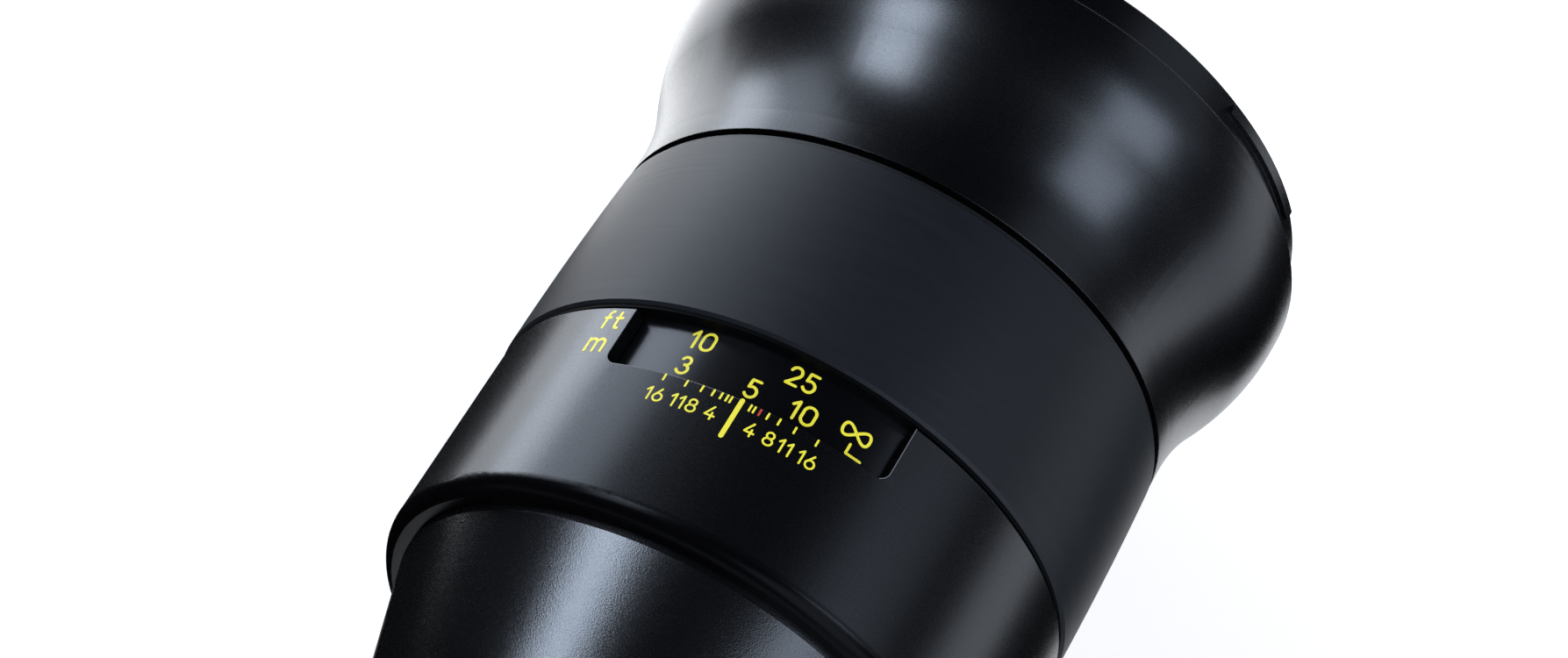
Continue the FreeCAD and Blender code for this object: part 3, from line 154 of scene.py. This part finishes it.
def text_strokes(text, height):
    """Strokes of a line of text, centred across and standing on its base line."""
    glyphs = [GLYPHS[letter] for letter in ([text] if text in GLYPHS else text)]
    width = sum(glyph[0] for glyph in glyphs) + GLYPH_SPACING * (len(glyphs) - 1)
    strokes = []
    start = -width / 2
    for advance, open_strokes, closed_strokes in glyphs:
        for closed, group in ((False, open_strokes), (True, closed_strokes)):
            for path in group:
                strokes.append(([((x + start) * height, y * height) for x, y in path], closed))
        start += advance + GLYPH_SPACING
    return strokes


def add_object(name, data):
    made = bpy.data.objects.new(name, data)
    bpy.context.scene.collection.objects.link(made)
    return made


class Paint:
    """Collects strokes as thin closed bars on a surface, then makes one piece from them.

    A place function takes x, y and a height, and gives the point on or above the surface."""

    def __init__(self):
        self.vertices = []
        self.faces = []

    def stroke(self, path, width, place, closed=False):
        """One stroke along a path: a loop if it is closed, and otherwise a bar with round ends."""
        if closed and (Vector(path[0]) - Vector(path[-1])).length < 1e-6:
            path = path[:-1]
        count = len(path)
        sides = []
        for index, point in enumerate(path):
            before = path[index - 1] if closed or index > 0 else point
            after = path[(index + 1) % count] if closed or index < count - 1 else point
            along = Vector((after[0] - before[0], after[1] - before[1])).normalized()
            across = Vector((-along.y, along.x)) * width / 2
            sides.append((Vector(point) + across, Vector(point) - across))
        if closed:
            for index in range(count):
                self.loop_bar(sides[index], sides[(index + 1) % count], place)
            return
        start = []
        end = []
        for step in range(1, ROUND_END_STEPS):
            turn = math.pi * step / ROUND_END_STEPS
            for outline, point, side, sign in ((start, path[0], sides[0], 1), (end, path[-1], sides[-1], -1)):
                arm = Matrix.Rotation(sign * turn, 2) @ (side[0] - Vector(point))
                outline.append(Vector(point) + arm)
        self.open_bar(sides, start, end, place)

    def corners(self, points, height, place):
        """Adds a corner for each point, and gives the numbers of the corners."""
        first = len(self.vertices)
        self.vertices += [place(point[0], point[1], height) for point in points]
        return list(range(first, len(self.vertices)))

    def loop_bar(self, first, second, place):
        """Bar between two neighbours of a loop. It has no ends, as the next bar goes on from it."""
        outline = (first[0], second[0], second[1], first[1])
        top = self.corners(outline, PAINT_HEIGHT, place)
        base = self.corners(outline, -PAINT_DEPTH, place)
        self.faces.append(top)
        self.faces.append(base[::-1])
        self.faces.append([top[0], base[0], base[1], top[1]])
        self.faces.append([top[2], base[2], base[3], top[3]])

    def open_bar(self, sides, start, end, place):
        """Bar along the pairs of side points, with the outlines of its round ends."""
        top = [self.corners(side, PAINT_HEIGHT, place) for side in sides]
        base = [self.corners(side, -PAINT_DEPTH, place) for side in sides]
        for level, flipped in ((top, False), (base, True)):
            for index in range(len(sides) - 1):
                face = [level[index][0], level[index + 1][0], level[index + 1][1], level[index][1]]
                self.faces.append(face[::-1] if flipped else face)
        start_top = self.corners(start, PAINT_HEIGHT, place)
        start_base = self.corners(start, -PAINT_DEPTH, place)
        end_top = self.corners(end, PAINT_HEIGHT, place)
        end_base = self.corners(end, -PAINT_DEPTH, place)
        for top_side, top_end, base_side, base_end in ((top[0], start_top, base[0], start_base),
                                                       (top[-1], end_top, base[-1], end_base)):
            self.faces.append([top_side[0]] + top_end + [top_side[1]])
            self.faces.append(([base_side[0]] + base_end + [base_side[1]])[::-1])
        rims = []
        for level, level_start, level_end in ((top, start_top, end_top), (base, start_base, end_base)):
            there = [side[0] for side in level]
            back_again = [side[1] for side in level[::-1]]
            rims.append(there + level_end + back_again + level_start[::-1])
        rim_top, rim_base = rims
        for index in range(len(rim_top)):
            following = (index + 1) % len(rim_top)
            self.faces.append([rim_top[index], rim_base[index], rim_base[following], rim_top[following]])

    def text(self, text, height, width, place):
        for path, closed in text_strokes(text, height):
            self.stroke(path, width, place, closed)

    def piece(self, name, body, material):
        mesh = bpy.data.meshes.new(name)
        mesh.from_pydata([tuple(vertex) for vertex in self.vertices], [], self.faces)
        work = bmesh.new()
        work.from_mesh(mesh)
        bmesh.ops.remove_doubles(work, verts=work.verts, dist=1e-8)
        bmesh.ops.recalc_face_normals(work, faces=work.faces)
        work.to_mesh(mesh)
        work.free()
        made = add_object(name, mesh)
        mesh.materials.append(material)
        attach(made, body)


def point_at(radius, azimuth, station):
    """Point in the shared frame, in metres."""
    angle = math.radians(azimuth)
    return Vector((-radius * math.sin(angle), -station, radius * math.cos(angle))) / 1000.0


def on_ring(azimuth, station):
    """Places a drawing on the distance ring: x runs with the azimuth and y to the front of the lens."""
    def place(x, y, height):
        turn = math.degrees(x / DISTANCE_RING_RADIUS)
        return point_at(DISTANCE_RING_RADIUS + height, azimuth + turn, station + y)
    return place


def on_barrel(azimuth, station):
    """Places a drawing on the fixed barrel, which tapers a little to the front."""
    def place(x, y, height):
        first, last = BARREL_STRAIGHT
        radius = BARREL_RADIUS - BARREL_TAPER * (station + y - first) / (last - first)
        return point_at(radius + height, azimuth + math.degrees(x / radius), station + y)
    return place


# Materials. Their sizes are in metres.

PAINTED_REFLECTION_TINT = (0.78, 0.87, 1.0)       # painted cold blue on what the black finishes mirror, standing in for the colour of the studio light
BLACK = (0.0015, 0.0015, 0.002)
BROKEN_EDGE = 0.0002            # radius of the broken edges
BARREL_REAR_EDGE = -0.0302      # place along Y where the fixed barrel's rounded rear edge begins; behind it the barrel has painted shade
GRIP_MIDDLE = -0.071
GREEN_FILM = 340.0              # thickness of the lens coatings, in nanometres
PURPLE_FILM = 430.0
GREEN_GLASSES = {"glass_1", "glass_4", "glass_12"}


def new_material(name):
    material = bpy.data.materials.new(name)
    material.use_nodes = True
    shader = material.node_tree.nodes["Principled BSDF"]
    return material, material.node_tree.nodes, material.node_tree.links, shader


def noise(nodes, links, vector, scale, detail, roughness=0.5):
    texture = nodes.new("ShaderNodeTexNoise")
    texture.inputs["Scale"].default_value = scale
    texture.inputs["Detail"].default_value = detail
    texture.inputs["Roughness"].default_value = roughness
    links.new(vector, texture.inputs["Vector"])
    return texture.outputs["Fac"]


def place_vector(nodes, links, scale=(1.0, 1.0, 1.0)):
    """The point on the piece, stretched along each axis."""
    coordinates = nodes.new("ShaderNodeTexCoord")
    mapping = nodes.new("ShaderNodeMapping")
    mapping.inputs["Scale"].default_value = scale
    links.new(coordinates.outputs["Object"], mapping.inputs["Vector"])
    return mapping.outputs["Vector"]


def turned_vector(nodes, links):
    """Radius and place along the lens axis, so that a texture runs round the axis as lathe lines do."""
    coordinates = nodes.new("ShaderNodeTexCoord")
    split = nodes.new("ShaderNodeSeparateXYZ")
    links.new(coordinates.outputs["Object"], split.inputs["Vector"])
    flat = nodes.new("ShaderNodeCombineXYZ")
    links.new(split.outputs["X"], flat.inputs["X"])
    links.new(split.outputs["Z"], flat.inputs["Z"])
    radius = nodes.new("ShaderNodeVectorMath")
    radius.operation = "LENGTH"
    links.new(flat.outputs["Vector"], radius.inputs[0])
    joined = nodes.new("ShaderNodeCombineXYZ")
    links.new(radius.outputs["Value"], joined.inputs["X"])
    links.new(split.outputs["Y"], joined.inputs["Y"])
    return joined.outputs["Vector"]


def between(nodes, links, value, low, high, from_low=0.3, from_high=0.7):
    """The value, moved from one range to another."""
    remap = nodes.new("ShaderNodeMapRange")
    remap.inputs["From Min"].default_value = from_low
    remap.inputs["From Max"].default_value = from_high
    remap.inputs["To Min"].default_value = low
    remap.inputs["To Max"].default_value = high
    links.new(value, remap.inputs["Value"])
    return remap.outputs["Result"]


def varied_colour(nodes, links, value, colour, spread):
    """The colour, from darker to lighter by the share given as spread."""
    mix = nodes.new("ShaderNodeMix")
    mix.data_type = "RGBA"
    for socket, share in (("A", 1 - spread), ("B", 1 + spread)):
        mix.inputs[socket].default_value = (*(channel * share for channel in colour), 1.0)
    links.new(between(nodes, links, value, 0.0, 1.0), mix.inputs["Factor"])
    return mix.outputs["Result"]


def bumped(nodes, links, value, strength, distance, under=None):
    bump = nodes.new("ShaderNodeBump")
    bump.inputs["Strength"].default_value = strength
    bump.inputs["Distance"].default_value = distance
    links.new(value, bump.inputs["Height"])
    if under is not None:
        links.new(under, bump.inputs["Normal"])
    return bump.outputs["Normal"]


# Sets the IOR, and paints a cold blue tint on the reflections for the colour of the studio light.
def set_ior_and_painted_tint(shader, ior):
    shader.inputs["IOR"].default_value = ior
    shader.inputs["Specular Tint"].default_value = (*PAINTED_REFLECTION_TINT, 1.0)


def plain_finish(name, colour, roughness, metallic=0.0, grain=4000.0, relief=0.05, spread=0.12):
    """Even finish with a fine grain and slight wear in the tone."""
    material, nodes, links, shader = new_material(name)
    fine = noise(nodes, links, place_vector(nodes, links), grain, 3.0)
    broad = noise(nodes, links, place_vector(nodes, links), 90.0, 2.0)
    links.new(varied_colour(nodes, links, broad, colour, spread), shader.inputs["Base Color"])
    links.new(between(nodes, links, fine, roughness - 0.04, roughness + 0.04), shader.inputs["Roughness"])
    links.new(bumped(nodes, links, fine, relief, 0.0001), shader.inputs["Normal"])
    shader.inputs["Metallic"].default_value = metallic
    shader.inputs["IOR"].default_value = 1.5
    return material


def turned_finish(name, colour, roughness, metallic=0.0, ior=1.5, line_scale=5000.0, relief=0.15,
                  edge=0.0, shade_painted_behind=None):
    """Finish of a part turned on a lathe: fine lines round the axis, under a light grain.

    With an edge radius, sharp edges catch the light as if they were broken by it. Behind a given
    place the part mirrors little, a painted shade that darkens it there."""
    material, nodes, links, shader = new_material(name)
    lines = noise(nodes, links, turned_vector(nodes, links), line_scale, 2.0)
    fine = noise(nodes, links, place_vector(nodes, links), 6000.0, 2.0)
    links.new(varied_colour(nodes, links, lines, colour, 0.1), shader.inputs["Base Color"])
    links.new(between(nodes, links, fine, roughness - 0.03, roughness + 0.03), shader.inputs["Roughness"])
    rounded = None
    if edge > 0:
        bevel = nodes.new("ShaderNodeBevel")
        bevel.inputs["Radius"].default_value = edge
        rounded = bevel.outputs["Normal"]
    grain_normal = bumped(nodes, links, fine, 0.04, 0.0001, rounded)
    links.new(bumped(nodes, links, lines, relief, 0.00005, grain_normal), shader.inputs["Normal"])
    shader.inputs["Metallic"].default_value = metallic
    shader.inputs["IOR"].default_value = ior
    if metallic == 0:
        set_ior_and_painted_tint(shader, ior)
    # Painted shade: behind the given place the specular level drops, so the part looks dark there.
    if shade_painted_behind is not None:
        split = nodes.new("ShaderNodeSeparateXYZ")
        links.new(place_vector(nodes, links), split.inputs["Vector"])
        fade = between(nodes, links, split.outputs["Y"], 0.5, 0.04, shade_painted_behind, shade_painted_behind + 0.001)
        links.new(fade, shader.inputs["Specular IOR Level"])
    return material


def blasted_finish(name, colour, roughness, ior):
    """Bead-blasted grain, whose small facets sparkle in a highlight."""
    material, nodes, links, shader = new_material(name)
    grains = nodes.new("ShaderNodeTexVoronoi")
    grains.inputs["Scale"].default_value = 5200.0
    links.new(place_vector(nodes, links), grains.inputs["Vector"])
    fine = noise(nodes, links, place_vector(nodes, links), 9000.0, 3.0, 0.6)
    links.new(varied_colour(nodes, links, fine, colour, 0.2), shader.inputs["Base Color"])
    links.new(between(nodes, links, fine, roughness - 0.08, roughness + 0.08), shader.inputs["Roughness"])
    under = bumped(nodes, links, fine, 0.2, 0.00003)
    links.new(bumped(nodes, links, grains.outputs["Distance"], 0.3, 0.00004, under), shader.inputs["Normal"])
    set_ior_and_painted_tint(shader, ior)
    return material


def rubber_finish(name, colour):
    """Smooth matt rubber with faint streaks round the ring."""
    material, nodes, links, shader = new_material(name)
    streaks = noise(nodes, links, turned_vector(nodes, links), 2600.0, 3.0)
    patches = noise(nodes, links, place_vector(nodes, links, (1.0, 6.0, 1.0)), 160.0, 3.0)
    fine = noise(nodes, links, place_vector(nodes, links), 7000.0, 3.0, 0.6)
    links.new(varied_colour(nodes, links, patches, colour, 0.12), shader.inputs["Base Color"])
    links.new(between(nodes, links, streaks, 0.44, 0.48), shader.inputs["Roughness"])
    under = bumped(nodes, links, fine, 0.25, 0.00005)
    links.new(bumped(nodes, links, streaks, 0.06, 0.00005, under), shader.inputs["Normal"])
    set_ior_and_painted_tint(shader, 1.33)
    return material


def glass_finish(name, film):
    """Optical glass whose coating tints what it reflects."""
    material, nodes, links, shader = new_material(name)
    haze = noise(nodes, links, place_vector(nodes, links), 300.0, 2.0)
    links.new(between(nodes, links, haze, 0.0, 0.012), shader.inputs["Roughness"])
    shader.inputs["Base Color"].default_value = (0.97, 0.985, 0.98, 1.0)
    shader.inputs["Transmission Weight"].default_value = 1.0
    shader.inputs["IOR"].default_value = 1.52
    shader.inputs["Thin Film Thickness"].default_value = film
    shader.inputs["Thin Film IOR"].default_value = 1.38
    return material


def paint_finish(name, colour):
    return plain_finish(name, colour, 0.45, grain=5000.0, relief=0.04, spread=0.05)


# A finish for each material slot, and for the nodes whose finish differs from their slot's.
SLOT_FINISH = {
    "satin_black": turned_finish("satin_black", BLACK, 0.26, ior=1.55, relief=0.05, edge=BROKEN_EDGE),
    "grained_black": blasted_finish("grained_black", (0.002, 0.002, 0.0026), 0.22, 1.6),
    "inner_black": turned_finish("inner_black", (0.012, 0.012, 0.013), 0.6, relief=0.3, line_scale=2500.0),
    "grip_rubber": rubber_finish("grip_rubber", (0.0079, 0.0096, 0.0126)),
    "mount_metal": turned_finish("mount_metal", (0.72, 0.72, 0.74), 0.24, metallic=1.0, relief=0.25),
    "screw_steel": plain_finish("screw_steel", (0.55, 0.55, 0.57), 0.3, metallic=1.0),
    "black_screw": plain_finish("black_screw", (0.03, 0.03, 0.032), 0.35, metallic=0.6),
    "contact_plastic": plain_finish("contact_plastic", (0.02, 0.02, 0.021), 0.5, relief=0.1),
    "contact_gold": plain_finish("contact_gold", (0.90, 0.62, 0.22), 0.2, metallic=1.0),
    "board": plain_finish("board", (0.02, 0.13, 0.06), 0.4, grain=1500.0),
    "key_brass": turned_finish("key_brass", (0.72, 0.52, 0.22), 0.3, metallic=1.0),
    "blade_steel": plain_finish("blade_steel", (0.035, 0.035, 0.038), 0.42, metallic=0.7),
    "lens_glass": glass_finish("lens_glass_purple", PURPLE_FILM),
}
# The focus ring's rear lip and the fixed barrel's rounded rear edge mirror little: painted shade where they
# meet the next part.
NODE_FINISH = {
    "focus_ring": turned_finish("lip_black", (0.002, 0.0024, 0.003), 0.5, ior=1.42, relief=0.05,
                                shade_painted_behind=GRIP_MIDDLE),
    "distance_scale_ring": turned_finish("scale_black", BLACK, 0.2, ior=1.7, relief=0.05),
    "scale_barrel": turned_finish("barrel_black", BLACK, 0.26, ior=1.55, relief=0.05, edge=BROKEN_EDGE,
                                  shade_painted_behind=BARREL_REAR_EDGE),
}
NODE_FINISH.update(dict.fromkeys(GREEN_GLASSES, glass_finish("lens_glass_green", GREEN_FILM)))
yellow_paint = paint_finish("yellow_paint", (0.85, 0.78, 0.05))
red_paint = paint_finish("red_paint", (0.50, 0.045, 0.035))
# Light grey, for the painted highlight on the window's edge
painted_edge_highlight = plain_finish("painted_edge_highlight", (0.20, 0.21, 0.23), 0.35, metallic=0.5)

slots = {part["node"]: part["material_slot"] for part in frame["record"]["subparts"]}
for node, piece in frame["nodes"].items():
    piece.data.materials.clear()
    piece.data.materials.append(NODE_FINISH.get(node, SLOT_FINISH[slots[node]]))


# Engraved marks, and a painted highlight along the window's right edge

def depth_marks():
    """Index line, depth-of-field ticks with their numbers, and the letters beside the window."""
    ticks = Paint()
    red = Paint()
    half = DEPTH_TICK_LENGTH / 2
    for stop in DEPTH_STOPS:
        for side in (-1, 1):
            paint = red if side == 1 and stop == INFRARED_STOP else ticks
            paint.stroke([(0, -half), (0, half)], DEPTH_TICK_WIDTH,
                         on_barrel(side * stop * DEPTH_DEGREES_PER_STOP, DEPTH_TICK_STATION))
    numbers = Paint()
    for text, azimuth in DEPTH_NUMBERS:
        numbers.text(text, DEPTH_NUMBER_HEIGHT, DEPTH_NUMBER_STROKE, on_barrel(azimuth, DEPTH_NUMBER_STATION))
    index = Paint()
    index.stroke([(0, 0), (0, INDEX_FRONT - INDEX_REAR)], INDEX_WIDTH, on_barrel(0.0, INDEX_REAR))
    units = Paint()
    for letters, height, azimuth, station in UNITS:
        units.text(letters, height, UNIT_STROKE, on_barrel(azimuth, station))
    ticks.piece("depth_ticks", "root", yellow_paint)
    red.piece("infrared_tick", "root", red_paint)
    numbers.piece("depth_numbers", "root", yellow_paint)
    index.piece("index_line", "root", yellow_paint)
    units.piece("unit_letters", "root", yellow_paint)


def window_edge_highlight():
    """Painted highlight: a light grey line along the window's right edge and round the corner beside the
    infinity mark, for the light its chamfer would catch.
    """
    corner = bow(-WINDOW_CORNER, WINDOW_CORNER, WINDOW_CORNER, WINDOW_CORNER, 0, -60, 8)
    edge = Paint()
    edge.stroke([(0, WINDOW_EDGE_LENGTH)] + corner, EDGE_HIGHLIGHT_WIDTH, on_barrel(WINDOW_AZIMUTH, WINDOW_REAR))
    edge.piece("window_edge_highlight", "root", painted_edge_highlight)


def azimuth_of_distance(distance):
    """Where a focus distance in millimetres stands on the distance ring."""
    span = distance - PRINCIPAL_PLANES
    extension = (span - math.sqrt(span ** 2 - 4 * FOCAL_LENGTH ** 2)) / 2
    spread = 1 + FAR_SPREAD * (1 - extension / FULL_EXTENSION)
    return INFINITY_AZIMUTH - 360.0 * extension / HELIX_LEAD * spread


def distance_marks():
    """Rows of feet and metres, and the infinity sign with its corner mark."""
    marks = Paint()
    for row, texts, unit in ((FEET_STATION, FEET, MILLIMETRES_PER_FOOT),
                             (METRE_STATION, METRES, MILLIMETRES_PER_METRE)):
        base = row - DISTANCE_NUMBER_HEIGHT / 2
        for text in texts:
            marks.text(text, DISTANCE_NUMBER_HEIGHT, DISTANCE_NUMBER_STROKE,
                       on_ring(azimuth_of_distance(float(text) * unit), base))
    marks.text("infinity", INFINITY_HEIGHT, DISTANCE_NUMBER_STROKE, on_ring(*INFINITY_SIGN))
    corner = on_ring(*INFINITY_CORNER)
    marks.stroke([(0, CORNER_HEIGHT), (0, 0)], CORNER_STROKE, corner)
    marks.stroke([(0, 0), (1.0, 0), (CORNER_WIDTH, 0)], CORNER_STROKE, corner)
    marks.piece("distance_numbers", "focus", yellow_paint)


depth_marks()
window_edge_highlight()
distance_marks()


# Studio, in metres

FLOOR = cad_low[2]              # height of the floor, which the lens touches
FLOOR_HALF = 8.0
FLOOR_COLOUR = (0.8, 0.8, 0.8)
FLOOR_GLOW = 0.55
WORLD_LIGHT = 0.4
CEILING_RADIUS = 3.2
CEILING_LOWEST = math.radians(6.0)
CEILING_RINGS = 10
CEILING_SEGMENTS = 32
LIFT = 0.001                    # of the cards and lamps that lie on the floor
LENS_MIDDLE = Vector((0.0, -0.06, 0.0))
LAMP_DISTANCE = 1.5
COLD = (0.88, 0.93, 1.0)

# name, direction from the lens, width, height, radiance, colour
SOFTBOXES = (
    ("key_softbox", (0.67, -0.74, 0.11), 1.4, 0.52, 6.1, COLD),
    ("upper_softbox", (0.71, -0.52, 0.47), 0.9, 0.5, 2.6, COLD),
    ("back_softbox", (-0.62, 0.55, 0.56), 1.3, 1.3, 3.0, (0.93, 0.96, 1.0)),
    ("side_softbox", (-0.74, -0.11, 0.66), 0.6, 0.6, 5.0, (0.86, 0.91, 1.0)),
    ("front_softbox", (-0.70, -0.52, 0.49), 0.9, 0.7, 0.42, COLD),
    ("rear_softbox", (0.54, -0.01, 0.84), 0.6, 0.5, 13.0, (0.90, 0.94, 1.0)),
)

# name, corner, length along Y, length along X, height
FLAGS = (
    ("floor_flag", (0.06, -0.13), 0.43, 0.065, 0.0),
    ("side_flag", (0.125, -0.10), 0.7, 0.275, 0.0),
    ("wide_flag", (0.40, -0.26), 0.86, 0.8, 0.0),
    ("right_flag", (-1.0, -1.6), 2.0, 0.0, 0.35),
    ("right_floor_flag", (-0.06, -0.35), 0.35, -0.10, 0.0),
    ("near_flag", (0.125, -0.13), 0.43, 0.0, 0.039),
    ("far_flag", (1.2, -0.5), 1.1, 0.0, 0.32),
)


def dull_material(name, colour):
    material, nodes, links, shader = new_material(name)
    shader.inputs["Base Color"].default_value = (*colour, 1.0)
    shader.inputs["Roughness"].default_value = 1.0
    shader.inputs["Specular IOR Level"].default_value = 0.0
    return material, nodes, links, shader


def seen_directly(nodes, links):
    """One for the camera and for what is seen in glass and metal, and nothing for other light."""
    path = nodes.new("ShaderNodeLightPath")
    seen = path.outputs["Is Camera Ray"]
    for ray in ("Is Glossy Ray", "Is Transmission Ray"):
        either = nodes.new("ShaderNodeMath")
        either.operation = "MAXIMUM"
        links.new(seen, either.inputs[0])
        links.new(path.outputs[ray], either.inputs[1])
        seen = either.outputs["Value"]
    return seen


def add_stage(name, vertices, faces, material):
    mesh = bpy.data.meshes.new(name)
    mesh.from_pydata(vertices, [], faces)
    mesh.materials.append(material)
    made = add_object(name, mesh)
    return made


def add_floor():
    """White paper that also glows for the camera and for what is seen in glass and metal."""
    material, nodes, links, shader = dull_material("floor_paper", FLOOR_COLOUR)
    strength = nodes.new("ShaderNodeMath")
    strength.operation = "MULTIPLY"
    strength.inputs[1].default_value = FLOOR_GLOW
    links.new(seen_directly(nodes, links), strength.inputs[0])
    links.new(strength.outputs["Value"], shader.inputs["Emission Strength"])
    shader.inputs["Emission Color"].default_value = (1.0, 1.0, 1.0, 1.0)
    corners = [(x * FLOOR_HALF, y * FLOOR_HALF, FLOOR) for x, y in ((-1, -1), (1, -1), (1, 1), (-1, 1))]
    add_stage("floor", corners, [(0, 1, 2, 3)], material)


def add_ceiling():
    """Dark studio ceiling: the part of a large sphere above the lights."""
    vertices = []
    for ring in range(CEILING_RINGS):
        height = CEILING_LOWEST + (math.pi / 2 - CEILING_LOWEST) * ring / CEILING_RINGS
        across = CEILING_RADIUS * math.cos(height)
        for segment in range(CEILING_SEGMENTS):
            angle = 2 * math.pi * segment / CEILING_SEGMENTS
            vertices.append((across * math.cos(angle), across * math.sin(angle),
                             CEILING_RADIUS * math.sin(height)))
    vertices.append((0.0, 0.0, CEILING_RADIUS))
    faces = []
    for ring in range(CEILING_RINGS):
        for segment in range(CEILING_SEGMENTS):
            first = ring * CEILING_SEGMENTS + segment
            second = ring * CEILING_SEGMENTS + (segment + 1) % CEILING_SEGMENTS
            if ring < CEILING_RINGS - 1:
                faces.append((first, second, second + CEILING_SEGMENTS, first + CEILING_SEGMENTS))
            else:
                faces.append((first, second, len(vertices) - 1))
    material = dull_material("dark_ceiling", (0.03, 0.03, 0.035))[0]
    add_stage("studio_ceiling", vertices, faces, material)


def add_flag(name, corner, along, across, height):
    """Black card on the floor, flat or upright. It only darkens what the lens mirrors."""
    x, y = corner
    low = FLOOR + LIFT
    corners = [(x, y, low), (x, y + along, low), (x + across, y + along, low + height),
               (x + across, y, low + height)]
    flag = add_stage(name, corners, [(0, 1, 2, 3)], dull_material(name, (0.005, 0.005, 0.005))[0])
    flag.visible_camera = False
    flag.visible_diffuse = False
    flag.visible_shadow = False


def add_lamp(name, place, facing, width, height, radiance, colour):
    """Rectangular light. Its power follows from the radiance of its face."""
    data = bpy.data.lights.new(name, "AREA")
    data.shape = "RECTANGLE"
    data.size = width
    data.size_y = height
    data.energy = radiance * math.pi * width * height
    data.color = colour
    lamp = add_object(name, data)
    lamp.visible_camera = False
    lamp.rotation_mode = "QUATERNION"
    lamp.location = place
    lamp.rotation_quaternion = facing.to_track_quat("-Z", "Y")


def add_world():
    """Plain white surroundings, dimmer as a source of light than as a background."""
    world = bpy.data.worlds.new("studio")
    bpy.context.scene.world = world
    world.use_nodes = True
    nodes = world.node_tree.nodes
    links = world.node_tree.links
    strength = between(nodes, links, seen_directly(nodes, links), WORLD_LIGHT, 1.0, 0.0, 1.0)
    nodes["Background"].inputs["Color"].default_value = (1.0, 1.0, 1.0, 1.0)
    links.new(strength, nodes["Background"].inputs["Strength"])


add_floor()
add_ceiling()
add_world()
for name, direction, width, height, radiance, colour in SOFTBOXES:
    back = Vector(direction).normalized()
    add_lamp(name, LENS_MIDDLE + back * LAMP_DISTANCE, -back, width, height, radiance, colour)
# The table light lies on the floor beside the lens and faces up.
add_lamp("table_glow", (0.40, -0.33, FLOOR + LIFT), Vector((0.0, 0.0, 1.0)), 0.64, 0.5, 1.4, (1.0, 1.0, 1.0))
for flag_values in FLAGS:
    add_flag(*flag_values)


# Camera

CAMERA_PLACE = (-0.128228, 0.209278, 0.470039)
CAMERA_FORWARD = (0.24606809, -0.51570333, -0.8206708)
CAMERA_RIGHT = (-0.89106618, -0.45352361, 0.01781553)
SENSOR_WIDTH = 36.0
FOCAL_PIXELS = 4856.144
PICTURE_WIDTH = 1787

camera_data = bpy.data.cameras.new("camera")
camera_data.sensor_width = SENSOR_WIDTH
camera_data.lens = SENSOR_WIDTH * FOCAL_PIXELS / PICTURE_WIDTH
camera_data.clip_start = 0.01
camera_data.clip_end = 100.0
camera = add_object("camera", camera_data)
right = Vector(CAMERA_RIGHT).normalized()
back = -Vector(CAMERA_FORWARD).normalized()
turn = Matrix((right, back.cross(right), back)).transposed().to_4x4()
camera.matrix_world = Matrix.Translation(Vector(CAMERA_PLACE)) @ turn
bpy.context.scene.camera = camera
bpy.context.scene.view_settings.view_transform = "Standard"
